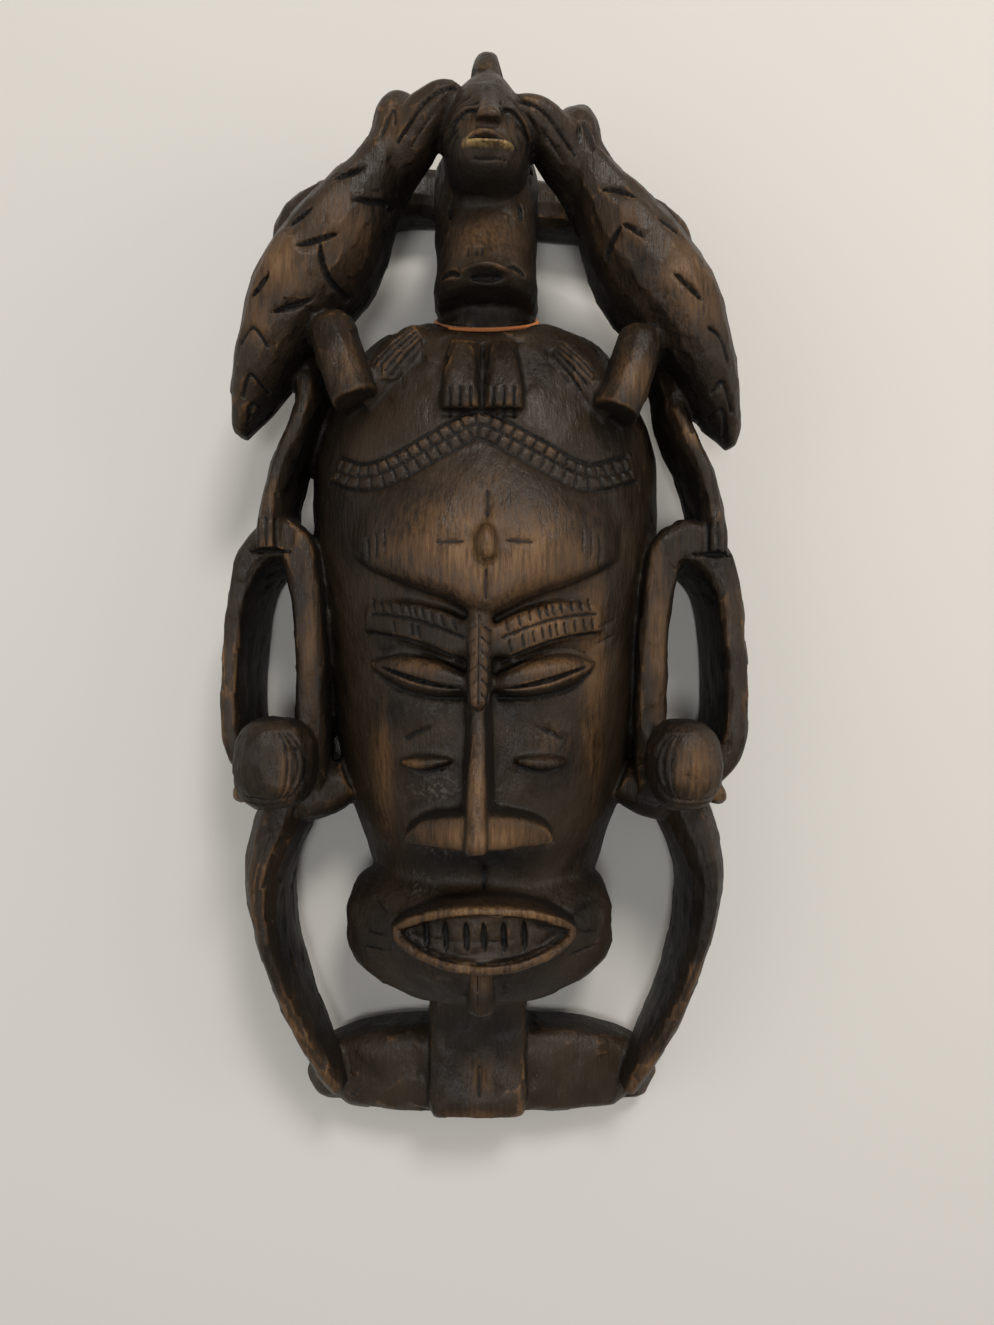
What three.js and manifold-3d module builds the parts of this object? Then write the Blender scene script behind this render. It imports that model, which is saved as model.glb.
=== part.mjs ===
// A carved wooden wall mask, lying on its back on the floor.
// +Z comes out of the face, +Y points to the top of the mask and +X to the right of the face.
// The wood is one carving; a thin thread is tied round the neck of the figure on top.
import * as THREE from "three";
import { mergeVertices } from "three/addons/utils/BufferGeometryUtils.js";
import Module from "manifold-3d";

const wasm = await Module();
wasm.setup();

// Driving dimensions, in millimetres
const MASK_HEIGHT = 500;
const SHELL_WALL = 11;
const SHELL_RIM = 9;
const THREAD_DIAMETER = 2.2;
const THREAD_CLEARANCE = 0.35;

// The carving is a free form. Its pose and proportions are drawn in shares of the mask's height,
// five hundred shares from the topknot to the underside of the foot.
const SHARES = 500;
const share = MASK_HEIGHT / SHARES;

// Hand cut, so the right-hand side hangs lower above and stands wider towards the top, in shares.
const RIGHT_DROP = 6;
const DROP_START = -50;
const DROP_REACH = 150;
const RIGHT_SPREAD = 5;
const RIGHT_TUCK = 1.5;
const LOWEST = -250;
const LEFT_ARM_TUCK = 6;
const RIGHT_LOOP_TUCK = 3.5;

// Depth by which every form is started behind the back plane before the back is cut flat, in shares.
const BACK_SPARE = 3;

// Solids from rings of points

function signedVolume(points, faces) {
  return faces.reduce((sum, [a, b, c]) => {
    const normal = points[b].clone().cross(points[c]);
    return sum + points[a].dot(normal) / 6;
  }, 0);
}

function solidFrom(points, faces) {
  const outward = signedVolume(points, faces) > 0;
  const ordered = outward ? faces : faces.map(([a, b, c]) => [a, c, b]);
  const geometry = new THREE.BufferGeometry();
  geometry.setFromPoints(points);
  geometry.setIndex(ordered.flat());
  const merged = mergeVertices(geometry, 1e-4);
  return new wasm.Manifold(
    new wasm.Mesh({
      numProp: 3,
      vertProperties: merged.getAttribute("position").array,
      triVerts: new Uint32Array(merged.index.array),
    }),
  );
}

// A skin over a row of rings with the same number of points each. An open row is capped at both
// ends by a fan round the middle of its end ring; a closed row runs round into its first ring.
function skin(rings, closed = false) {
  const around = rings[0].length;
  const points = rings.flat().map((point) => point.clone().multiplyScalar(share));
  const faces = [];
  const bands = closed ? rings.length : rings.length - 1;
  for (let band = 0; band < bands; band++) {
    const here = band * around;
    const next = ((band + 1) % rings.length) * around;
    for (let side = 0; side < around; side++) {
      const beside = (side + 1) % around;
      faces.push([here + side, here + beside, next + beside]);
      faces.push([here + side, next + beside, next + side]);
    }
  }
  if (!closed) {
    const last = (rings.length - 1) * around;
    for (const [start, flip] of [[0, true], [last, false]]) {
      const middle = new THREE.Vector3();
      points.slice(start, start + around).forEach((point) => middle.addScaledVector(point, 1 / around));
      const centre = points.push(middle) - 1;
      for (let side = 0; side < around; side++) {
        const beside = (side + 1) % around;
        faces.push(
          flip
            ? [centre, start + beside, start + side]
            : [centre, start + side, start + beside],
        );
      }
    }
  }
  return solidFrom(points, faces);
}

function join(solids) {
  return solids.reduce((whole, solid) => whole.add(solid));
}

// The value of |cosine| or |sine| raised so that a circle turns into a squarer outline.
function squared(value, squareness) {
  return Math.sign(value) * Math.abs(value) ** (2 / squareness);
}

// A limb follows stations of [x, y, half width, back, front]. Each section stands across the path,
// as wide as twice the half width and as deep as from back to front. Lean shifts a section
// sideways, outwards at the back, by that many shares for each share of depth.
function limb(stations, { sides = 10, squareness = 2.5, lean = 0 } = {}) {
  const place = new THREE.CatmullRomCurve3(
    stations.map(([x, y, half]) => new THREE.Vector3(x, y, half)),
    false,
    "catmullrom",
    0.5,
  );
  const depth = new THREE.CatmullRomCurve3(
    stations.map(([, , , back, front]) => new THREE.Vector3(back, front, 0)),
    false,
    "catmullrom",
    0.5,
  );
  const count = stations.length - 1;
  const rings = [];
  for (let step = 0; step <= count; step++) {
    const { x, y, z: half } = place.getPoint(step / count);
    const { x: back, y: front } = depth.getPoint(step / count);
    const ahead = place.getTangent(step / count);
    const across = new THREE.Vector2(-ahead.y, ahead.x).normalize();
    const middle = (back + front) / 2;
    const ring = [];
    for (let side = 0; side < sides; side++) {
      const angle = (2 * Math.PI * (side + 0.5)) / sides;
      const out = half * squared(Math.cos(angle), squareness);
      const up = ((front - back) / 2) * squared(Math.sin(angle), squareness);
      ring.push(new THREE.Vector3(x + across.x * out - lean * up, y + across.y * out, middle + up));
    }
    rings.push(ring);
  }
  return skin(rings);
}

// The stations of a limb on one side of the mask, given for the right half and worked outwards.
function onSide(side, stations) {
  const right = side > 0 ? 1 : 0;
  return stations.map(([x, y, ...rest]) => {
    const rise = THREE.MathUtils.clamp((y - LOWEST) / SHARES, 0, 1);
    const spread = right * (RIGHT_SPREAD * rise - RIGHT_TUCK);
    const hang = THREE.MathUtils.clamp((y - DROP_START) / DROP_REACH, 0, 1) ** 2;
    return [side * (x + spread), y - right * RIGHT_DROP * hang, ...rest];
  });
}

// The same for the features of the face, which are alike on both sides
function onFace(side, stations) {
  return stations.map(([x, ...rest]) => [side * x, ...rest]);
}

// The shell of the face: rows of [height, half width at the back, depth on the middle line]
const SHELL_ROWS = [
  [144, 30, 46],
  [133, 61, 72],
  [120, 72, 82],
  [100, 82, 90],
  [80, 88, 95],
  [55, 89, 98],
  [30, 88, 98],
  [5, 85, 95],
  [-20, 81.5, 90.5],
  [-60, 77, 87],
  [-90, 70, 84],
  [-108, 63.5, 80],
  [-128, 57.5, 74],
  [-150, 46, 66],
];
const SHELL_CURVE = 2.6;
const SHELL_COLUMNS = 18;
const BACK_NARROWING = 0.9;

function shellDepth(x, half, depth) {
  const reach = Math.min(1, Math.abs(x) / half);
  return depth * Math.sqrt(1 - reach ** SHELL_CURVE);
}

function shellRow(y) {
  const rows = SHELL_ROWS;
  const upper = Math.max(0, rows.findLastIndex(([height]) => height >= y));
  const lower = Math.min(upper + 1, rows.length - 1);
  const gap = rows[upper][0] - rows[lower][0];
  const blend = gap > 0 ? THREE.MathUtils.clamp((rows[upper][0] - y) / gap, 0, 1) : 0;
  return [1, 2].map((item) => THREE.MathUtils.lerp(rows[upper][item], rows[lower][item], blend));
}

// Height of the plain shell above the back plane at a point of the face, in shares
function shellFront(x, y) {
  const [half, depth] = shellRow(y);
  return shellDepth(x, half, depth);
}

function shellSolid(rows, columns, back) {
  const rings = rows.map(([y, half, depth]) => {
    const ring = [];
    for (let column = 0; column <= columns; column++) {
      const x = half * Math.sin(Math.PI * (column / columns - 0.5));
      ring.push(new THREE.Vector3(x, y, shellDepth(x, half, depth)));
    }
    ring.push(new THREE.Vector3(half * BACK_NARROWING, y, back));
    ring.push(new THREE.Vector3(-half * BACK_NARROWING, y, back));
    return ring;
  });
  return skin(rings);
}

// The hollow behind the face follows the shell inside its wall and rim and opens at the back.
const HOLLOW_TOP = 128;
const HOLLOW_BOTTOM = -122;
const HOLLOW_ROWS = 8;
const HOLLOW_COLUMNS = 10;

function hollowSolid() {
  const wall = SHELL_WALL / share;
  const rim = SHELL_RIM / share;
  const rows = [];
  for (let row = 0; row <= HOLLOW_ROWS; row++) {
    const along = row / HOLLOW_ROWS;
    const y = THREE.MathUtils.lerp(HOLLOW_TOP, HOLLOW_BOTTOM, along);
    const [half, depth] = shellRow(y);
    const ends = Math.sin(Math.PI * THREE.MathUtils.clamp(along, 0.05, 0.95)) ** 0.35;
    rows.push([y, (half - rim) * ends, (depth - wall) * ends]);
  }
  return shellSolid(rows, HOLLOW_COLUMNS, -BACK_SPARE);
}

// Face, from the forehead down

// The forehead swells out of the shell, sinks into it upwards and ends below in a V-shaped ledge.
const FOREHEAD_X = 1.5;
const FOREHEAD_RISE = 15;
const FOREHEAD_ROOT = 20;

// Share of the swelling left at each share of the way up from the ledge
const LEDGE_ROUNDING = [
  [0, 0.55],
  [0.05, 0.9],
  [0.14, 1],
  [0.35, 0.88],
  [0.6, 0.58],
  [0.82, 0.22],
  [1, -0.06],
];

function forehead() {
  // [place across, lower edge, upper edge, share of the full swelling]
  const stations = [
    [-60, 24, 44, 0.1],
    [-50, 17.5, 54, 0.62],
    [-36, 11, 60, 0.9],
    [-18, 4.5, 68, 1],
    [0, -3.5, 74, 1],
    [18, 4.5, 68, 1],
    [36, 11, 60, 0.9],
    [50, 17.5, 54, 0.62],
    [60, 24, 44, 0.1],
  ];
  const rings = stations.map(([across, low, high, swelling]) => {
    const x = FOREHEAD_X + across;
    const ring = LEDGE_ROUNDING.map(([along, rise]) => {
      const y = THREE.MathUtils.lerp(low, high, along);
      return new THREE.Vector3(x, y, shellFront(x, y) + FOREHEAD_RISE * swelling * rise);
    });
    ring.push(new THREE.Vector3(x, high, shellFront(x, high) - FOREHEAD_ROOT));
    ring.push(new THREE.Vector3(x, low, shellFront(x, low) - FOREHEAD_ROOT));
    return ring;
  });
  const boss = limb(
    [
      [FOREHEAD_X, 36, 2, 95, 111],
      [FOREHEAD_X, 32, 5, 95, 115],
      [FOREHEAD_X, 22, 5, 95, 116],
      [FOREHEAD_X, 18, 2, 95, 112],
    ],
    { sides: 8 },
  );
  return skin(rings).add(boss);
}

function brow(side) {
  return limb(
    onFace(side, [
      [53, -3, 6.5, 55, 82],
      [38, -4, 8.5, 65, 94],
      [24, -7.5, 9, 70, 100],
      [11, -12.5, 8.5, 70, 104],
      [2, -15, 6, 70, 104],
    ]),
    { sides: 6, squareness: 3 },
  );
}

function eye(side) {
  const upperLid = [
    [50, -22, 1, 60, 82],
    [38, -22.5, 4, 65, 94],
    [25, -26, 5, 70, 100],
    [13, -31, 3.5, 70, 102],
    [7, -34, 1, 70, 98],
  ];
  const lowerLid = [
    [49, -25, 1, 60, 80],
    [38, -31, 2.6, 65, 90],
    [24, -35.5, 2.8, 70, 95],
    [10, -37, 1.2, 70, 96],
  ];
  return join([upperLid, lowerLid].map((lid) => limb(onFace(side, lid), { sides: 6 })));
}

function nose() {
  const ridge = [
    [-1.5, 0, 5, 70, 104],
    [-1.5, -12, 5, 70, 109],
    [-1.5, -43, 5, 70, 110],
    [-1.8, -50, 4.2, 70, 110],
    [-2.3, -75, 4.2, 70, 118],
    [-2.8, -96, 4.2, 70, 125],
    [-3, -101.5, 3.6, 74, 122],
  ];
  const wings = [
    [-31, -97.5, 2, 70, 92],
    [-25, -95, 6, 70, 104],
    [-14, -93, 8.5, 70, 113],
    [-2, -92.5, 9.5, 70, 119],
    [10, -93, 8.5, 70, 113],
    [21, -95, 6, 70, 104],
    [28, -97.5, 2, 70, 92],
  ];
  return join([limb(ridge, { sides: 8, squareness: 3 }), limb(wings, { sides: 8, squareness: 2.8 })]);
}

function cheekFold(side) {
  return limb(
    onFace(side, [
      [31, -64, 1.5, 60, 83],
      [22, -67, 3.5, 65, 90],
      [12, -66, 1.5, 65, 86],
    ]),
    { sides: 6 },
  );
}

// Mouth plate with a lobe at each side, the almond ring with its teeth, and the peg below
const MOUTH_X = -2.5;

function mouthPlate() {
  const lobe = [
    [63, -139.5, 7, 22, 54],
    [58.5, -140.5, 18, 10, 63],
    [46, -145, 28.5, 2, 76],
    [27, -149.5, 32.5, 0, 88],
    [9, -151, 34, 0, 93],
  ];
  const left = lobe.map(([x, ...rest]) => [MOUTH_X - x, ...rest]);
  const right = lobe.map(([x, ...rest]) => [MOUTH_X + x, ...rest]).reverse();
  return limb([...left, ...right], { sides: 12, squareness: 2.3 });
}

function lip(heights, fronts) {
  const half = [2, 2.6, 3, 3, 3, 2.6, 2];
  const across = [-40, -31, -16, 0, 16, 31, 40];
  return limb(
    across.map((x, index) => [x + 0.5, heights[index], half[index], 60, fronts[index]]),
    { sides: 6 },
  );
}

function mouth() {
  const fronts = [90, 97, 103, 105, 103, 97, 90];
  const upper = lip([-141, -134.5, -129.5, -128.5, -129.5, -134.5, -141], fronts);
  const lower = lip([-142, -148, -152.5, -154, -152.5, -148, -142], fronts);
  const teeth = limb(
    [
      [-33, -141.2, 3, 60, 90],
      [-16, -141.2, 9, 60, 97],
      [0.5, -141.2, 11, 60, 99],
      [17, -141.2, 9, 60, 97],
      [34, -141.2, 3, 60, 90],
    ],
    { sides: 6, squareness: 4 },
  );
  return join([upper, lower, teeth]);
}

function peg() {
  return limb(
    [
      [-1, -150, 6, 60, 96],
      [-1, -172, 6, 60, 97],
      [-1, -177, 5.6, 62, 95],
    ],
    { sides: 8, squareness: 3 },
  );
}

// Neck post and curved foot
const POST_X = -3.5;
const FOOT_X = -2;

function post() {
  return limb(
    [
      [POST_X, -168, 24, -BACK_SPARE, 56],
      [POST_X, -186, 24, -BACK_SPARE, 46],
      [POST_X, -215, 24, -BACK_SPARE, 43],
      [POST_X, -238, 24, -BACK_SPARE, 45],
      [POST_X, -245, 22.5, -BACK_SPARE, 43],
    ],
    { sides: 8, squareness: 7 },
  );
}

function foot() {
  const arc = [
    [87, -240.2, 7.5, -BACK_SPARE, 14],
    [82, -237.3, 12, -BACK_SPARE, 19],
    [72, -231.8, 17.5, -BACK_SPARE, 26],
    [50, -228, 21.9, -BACK_SPARE, 32],
    [22, -227, 23, -BACK_SPARE, 35],
  ];
  const left = arc.map(([x, ...rest]) => [FOOT_X - x, ...rest]);
  const right = arc.map(([x, ...rest]) => [FOOT_X + x, ...rest]).reverse();
  return limb([...left, ...right], { sides: 8, squareness: 5 });
}

// Side members: arm, loop, ball head and lower limb

// The left arm bends further in than the right one, the more the lower it comes.
const ARM_TOP = 126;
const TUCK_REACH = 30;

function arm(side) {
  const stations = [
    [83, ARM_TOP, 8, 38, 62],
    [86.5, 112, 7.5, 36, 66],
    [88.5, 100, 6.8, 34, 68],
    [94, 85, 6.2, 34, 70],
    [100.5, 70, 6.2, 34, 71],
    [104.5, 54, 6.2, 32, 72],
    [105.5, 40, 7.5, 24, 74],
    [105.5, 29, 8, 16, 75],
  ];
  const tuck = side < 0 ? LEFT_ARM_TUCK : 0;
  const bent = stations.map(([x, y, ...rest]) => {
    const reached = THREE.MathUtils.clamp((ARM_TOP - y) / TUCK_REACH, 0, 1);
    return [x - tuck * reached, y, ...rest];
  });
  return limb(onSide(side, bent), { sides: 8, squareness: 2.6 });
}

// The hole of the right loop lies further in, so its outer bar is thicker and its inner bar moved.
const OUTER_BAR_SHARE = 0.42;
const INNER_BAR_LEAN = 0.3;

function loop(side) {
  const outer = [
    [92, -79, 9, -BACK_SPARE, 58],
    [106, -75, 7, -BACK_SPARE, 62],
    [116.5, -64, 5.8, -BACK_SPARE, 64],
    [119.5, -43, 4.8, -BACK_SPARE, 65],
    [118, -10, 4.8, -BACK_SPARE, 65],
    [114.5, 12, 5.6, -BACK_SPARE, 66],
    [108.5, 26, 8, -BACK_SPARE, 67],
    [99.5, 34.5, 9.5, -BACK_SPARE, 68],
    [90, 36, 9.5, -BACK_SPARE, 66],
  ];
  const inner = [
    [92, 34, 11, -BACK_SPARE, 67],
    [87.5, 18, 9, -BACK_SPARE, 68],
    [84.5, -8, 8, -BACK_SPARE, 68],
    [84, -38, 8, -BACK_SPARE, 67],
    [84.5, -66, 8.5, -BACK_SPARE, 64],
    [86, -82, 10, -BACK_SPARE, 60],
  ];
  const under = [
    [66, -80, 10, 2, 52],
    [82, -84, 10, -BACK_SPARE, 58],
    [98, -81, 8, -BACK_SPARE, 58],
  ];
  const tuck = side > 0 ? RIGHT_LOOP_TUCK : 0;
  const thicker = tuck * OUTER_BAR_SHARE;
  const outerBar = outer.map(([x, y, half, ...rest]) => [x - thicker, y, half + thicker, ...rest]);
  const innerBar = inner.map(([x, ...rest]) => [x - tuck, ...rest]);
  return join([
    limb(onSide(side, outerBar), { sides: 6, squareness: 3 }),
    limb(onSide(side, innerBar), { sides: 6, squareness: 3, lean: side * INNER_BAR_LEAN }),
    limb(onSide(side, under), { sides: 6, squareness: 3 }),
  ]);
}

function lowerLimb(side) {
  return limb(
    onSide(side, [
      [90, -78, 12, -BACK_SPARE, 60],
      [97.5, -96, 13, -BACK_SPARE, 65],
      [103.5, -113, 11.5, -BACK_SPARE, 68],
      [105.5, -130, 9.2, -BACK_SPARE, 68],
      [102, -156, 6.8, 1, 66],
      [93.5, -185, 6.2, 6, 60],
      [84, -207, 6.2, 12, 54],
      [76, -224, 5.4, 18, 48],
      [71.5, -234, 3.4, 20, 42],
    ]),
    { sides: 8, squareness: 2.4 },
  );
}

const BALL_HEADS = [
  { side: -1, x: -94.5, y: -68.5, width: 18.6, height: 21 },
  { side: 1, x: 90.5, y: -69, width: 17, height: 20.6 },
];
const BALL_DEPTH = 20;
const BALL_Z = 76;

function ballHead({ side, x, y, width, height }) {
  const ball = new THREE.SphereGeometry(1, 12, 8);
  ball.deleteAttribute("normal");
  ball.deleteAttribute("uv");
  ball.scale(width * share, height * share, BALL_DEPTH * share);
  ball.translate(x * share, y * share, BALL_Z * share);
  const merged = mergeVertices(ball, 1e-3);
  const positions = merged.getAttribute("position");
  const points = [];
  for (let index = 0; index < positions.count; index++) {
    points.push(new THREE.Vector3().fromBufferAttribute(positions, index));
  }
  const indices = [...merged.index.array];
  const faces = [];
  for (let corner = 0; corner < indices.length; corner += 3) {
    const face = indices.slice(corner, corner + 3);
    if (new Set(face).size === 3) faces.push(face);
  }
  const root = limb(
    [
      [x + side * 4, y - 14, 12, 20, 74],
      [x, y, 14, 20, 74],
      [x - side * 2, y + 12, 10, 20, 70],
    ],
    { sides: 6 },
  );
  const knob = limb(
    [
      [x + side * 13, y - 11, 6, 48, 66],
      [x + side * 19, y - 16, 4.5, 50, 66],
      [x + side * 22, y - 19, 2, 54, 62],
    ],
    { sides: 6 },
  );
  return join([solidFrom(points, faces), root, knob]);
}

// Birds with long beaks, one on each side

function bird(side) {
  const body = [
    [34.5, 232, 3, 68, 82],
    [36, 227.5, 8.4, 62, 90],
    [39, 219, 10.4, 58, 95],
    [42.3, 208.5, 10.2, 54, 95],
    [48, 197, 12.7, 46, 96],
    [57.5, 184, 17.4, 34, 98],
    [70, 165, 21.8, 28, 101],
    [85.3, 144, 20.4, 30, 101],
    [97.4, 121.5, 14.7, 36, 95],
    [105.7, 103, 10.2, 42, 86],
    [111.5, 90, 5.5, 48, 76],
    [114, 83, 2, 52, 68],
  ];
  const beak = [
    [39, 203, 11.5, 62, 94],
    [32, 210, 12, 66, 99],
    [25, 216, 10.2, 72, 103],
    [17, 220.8, 8.4, 76, 105],
    [10, 223, 6.3, 78, 102],
  ];
  const thigh = [
    [70.5, 134, 6, 60, 80],
    [69, 129, 10.4, 56, 92],
    [62, 108, 10.6, 62, 99],
    [56.5, 93, 10.4, 68, 103],
  ];
  const toes = [
    [56, 95, 7, 62, 84],
    [47.5, 104, 9, 58, 86],
    [38, 115, 9.5, 56, 88],
    [30, 126, 7.5, 52, 82],
    [27.5, 130, 3, 54, 74],
  ];
  return join([
    limb(onSide(side, body), { sides: 10 }),
    limb(onSide(side, beak), { sides: 8 }),
    limb(onSide(side, thigh), { sides: 8, squareness: 2.2 }),
    limb(onSide(side, toes), { sides: 6 }),
  ]);
}

// Bar that arches behind the two birds, with a claw-like end at each side
const BAR_X = -2.5;

function archBar() {
  const reach = [
    [98.5, 181, 4.5, -BACK_SPARE, 32],
    [97, 189.5, 8, -BACK_SPARE, 36],
    [90.5, 199, 10.2, -BACK_SPARE, 37],
    [77, 207, 12.4, -BACK_SPARE, 36],
    [54, 213.5, 13, -BACK_SPARE, 32],
    [27, 216.5, 12.5, -BACK_SPARE, 27],
  ];
  const whole = [...onSide(-1, reach), ...onSide(1, reach).reverse()];
  return limb(whole.map(([x, ...rest]) => [x + BAR_X, ...rest]), { sides: 8, squareness: 3 });
}

// Column carved as a second head with a broad muzzle, its feet on the crown
const COLUMN_X = 1;
const NECK_HALF = 23;
const NECK_BACK = 18;
const NECK_FRONT = 78;

function column() {
  const shaft = [
    [COLUMN_X, 220, 17, 8, 64],
    [COLUMN_X, 208, 24, 6, 82],
    [COLUMN_X, 186, 24.5, 8, 88],
    [COLUMN_X, 168, 23.5, 10, 94],
    [COLUMN_X, 155, 23, 12, 101],
    [COLUMN_X, 144, 24, 14, 106],
    [COLUMN_X, 138.5, 21, 20, 102],
  ];
  const neck = [
    [COLUMN_X, 160, NECK_HALF, NECK_BACK, NECK_FRONT],
    [COLUMN_X, 133, NECK_HALF, NECK_BACK, NECK_FRONT],
    [COLUMN_X, 124, 26.5, 24, 84],
    [COLUMN_X, 112, 25, 30, 90],
  ];
  const lips = [
    [-19.5, 144, 1.8, 70, 96],
    [-10, 144.5, 4, 70, 107],
    [COLUMN_X, 143.5, 4.8, 70, 111],
    [12, 144.5, 4, 70, 107],
    [21, 144, 1.8, 70, 96],
  ];
  const footLeft = [
    [-9, 124, 7, 60, 90],
    [-9.5, 108, 8, 60, 95],
    [-9.5, 92, 8.6, 60, 99],
    [-9.5, 88, 8.4, 62, 98],
  ];
  const footRight = footLeft.map(([x, ...rest]) => [-x - 0.5, ...rest]);
  return join([
    limb(shaft, { sides: 10, squareness: 2.8 }),
    limb(neck, { sides: 10, squareness: 2.4 }),
    limb(lips, { sides: 6 }),
    limb(footLeft, { sides: 6, squareness: 3.4 }),
    limb(footRight, { sides: 6, squareness: 3.4 }),
  ]);
}

// Small head on top, leaning forward, with its topknot
const HEAD_X = 1.5;
const LIPS_Y = 191.5;
const LIPS_GAP = 1.1;
const LIP_HALF = 1.8;

function smallHead() {
  const skull = [
    [HEAD_X, 249.3, 1.5, 74, 82],
    [HEAD_X, 246.5, 5, 69, 88],
    [HEAD_X, 240, 7, 66, 92],
    [HEAD_X, 234, 8, 62, 95],
    [HEAD_X, 229, 11.5, 56, 101],
    [HEAD_X, 220, 16.8, 48, 108],
    [HEAD_X, 209, 20, 44, 113],
    [HEAD_X, 197, 18.6, 46, 116],
    [HEAD_X, 187, 14.5, 52, 117],
    [HEAD_X, 180.5, 8, 62, 112],
  ];
  const nose = [
    [2, 214, 2.4, 90, 110],
    [2, 205, 3.2, 90, 118],
    [2, 198.5, 4.6, 90, 124],
    [2, 196, 4, 92, 121],
  ];
  // [place across, rise of the bow, front]
  const bow = [
    [-8, 0, 113.5],
    [-2, 1, 119.5],
    [3, 1.4, 121.5],
    [8, 1, 119.5],
    [14, 0, 113.5],
  ];
  const [upper, lower] = [1, -1].map((way) => {
    return bow.map(([x, rise, front]) => [x, LIPS_Y + way * (LIPS_GAP + rise), LIP_HALF, 95, front]);
  });
  const lidLeft = [
    [-14.5, 208.5, 1, 85, 103],
    [-9, 212.5, 2.2, 85, 110],
    [-3, 210, 1.2, 85, 113],
  ];
  const lidRight = lidLeft.map(([x, ...rest]) => [2 * HEAD_X + 1 - x, ...rest]);
  return join([
    limb(skull, { sides: 12 }),
    limb(nose, { sides: 6 }),
    ...[upper, lower, lidLeft, lidRight].map((form) => limb(form, { sides: 4 })),
  ]);
}

// Joined block, flat at the back and hollow behind the face

function boxSolid(low, high) {
  const box = new THREE.BoxGeometry(...high.map((value, axis) => value - low[axis]));
  box.translate(...high.map((value, axis) => (value + low[axis]) / 2));
  const merged = mergeVertices(box.deleteAttribute("normal").deleteAttribute("uv"), 1e-4);
  return new wasm.Manifold(
    new wasm.Mesh({
      numProp: 3,
      vertProperties: merged.getAttribute("position").array,
      triVerts: new Uint32Array(merged.index.array),
    }),
  );
}

function ladderPath() {
  const points = [
    [-69, 66],
    [-58, 60.5],
    [-47, 60],
    [-35, 64],
    [-19, 72.5],
    [-8, 78.5],
    [-2, 80.5],
    [7, 77],
    [23, 68.5],
    [40, 60],
    [52, 59.5],
    [68, 66],
  ].map(([x, y]) => new THREE.Vector3(x, y, 0));
  return new THREE.CatmullRomCurve3(points, false, "centripetal");
}

const LADDER_HALF = 6.2;
const LADDER_RAISE = 1.8;
const LADDER_ROOT = 14;
const LADDER_STEPS = 12;

function ladderBand() {
  const path = ladderPath();
  const stations = [];
  for (let step = 0; step <= LADDER_STEPS; step++) {
    const { x, y } = path.getPointAt(step / LADDER_STEPS);
    const front = shellFront(x, y) + LADDER_RAISE;
    stations.push([x, y, LADDER_HALF, front - LADDER_ROOT, front]);
  }
  return limb(stations, { sides: 4, squareness: 2 });
}

// Grooves are V cuts that follow the carved surface. A leaf swells in the middle and runs out at
// both ends, and a stroke keeps its width from end to end.
const GROOVE_LIFT = 6;
const GROOVE_RUN_OUT = 0.25;

// Height of the carved surface above the back plane, looked for straight down from the front
function surfaceFinder(solid) {
  const target = meshFrom(solid, "surface", new THREE.MeshBasicMaterial());
  const caster = new THREE.Raycaster();
  const down = new THREE.Vector3(0, 0, -1);
  return (x, y) => {
    caster.set(new THREE.Vector3(x * share, y * share, MASK_HEIGHT), down);
    const [hit] = caster.intersectObject(target);
    return hit ? hit.point.z / share : 0;
  };
}

function groove(surface, { points, half, depth, leaf = false }) {
  const line = new THREE.CatmullRomCurve3(points.map(([x, y]) => new THREE.Vector3(x, y, 0)));
  const count = leaf ? 2 : points.length - 1;
  const rings = [];
  for (let step = 0; step <= count; step++) {
    const { x, y } = line.getPoint(step / count);
    const ahead = line.getTangent(step / count);
    const across = new THREE.Vector2(-ahead.y, ahead.x).normalize();
    const full = leaf && (step === 0 || step === count) ? GROOVE_RUN_OUT : 1;
    const top = surface(x, y);
    const spread = (half * full * (depth + GROOVE_LIFT)) / depth;
    rings.push([
      new THREE.Vector3(x + across.x * spread, y + across.y * spread, top + GROOVE_LIFT * full),
      new THREE.Vector3(x - across.x * spread, y - across.y * spread, top + GROOVE_LIFT * full),
      new THREE.Vector3(x, y, top - depth * full),
    ]);
  }
  return skin(rings);
}

const LADDER_RUNGS = 15;

function ladderGrooves() {
  const path = ladderPath();
  const grooves = [];
  for (let rung = 1; rung < LADDER_RUNGS; rung++) {
    const { x, y } = path.getPointAt(rung / LADDER_RUNGS);
    const ahead = path.getTangentAt(rung / LADDER_RUNGS);
    const out = [-ahead.y * LADDER_HALF, ahead.x * LADDER_HALF];
    grooves.push({
      points: [[x - out[0], y - out[1]], [x + out[0], y + out[1]]],
      half: 1,
      depth: 1.5,
    });
  }
  return grooves;
}

// Hatching across the two rows of a brow
const BROW_STROKES = 4;

function browGrooves(side) {
  const middle = [
    [51, -3],
    [30, -6],
    [7, -15],
  ];
  const line = new THREE.CatmullRomCurve3(middle.map(([x, y]) => new THREE.Vector3(x, y, 0)));
  const grooves = [{ points: onFace(side, middle), half: 0.9, depth: 1.4 }];
  for (let stroke = 0; stroke < BROW_STROKES; stroke++) {
    const { x, y } = line.getPointAt((stroke + 0.6) / BROW_STROKES);
    grooves.push({ points: onFace(side, [[x + 2.4, y + 7], [x + 0.6, y + 1.6]]), half: 1, depth: 1.3 });
    grooves.push({ points: onFace(side, [[x - 0.6, y - 1.6], [x - 2.4, y - 6.4]]), half: 1, depth: 1.3 });
  }
  return grooves;
}

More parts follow.
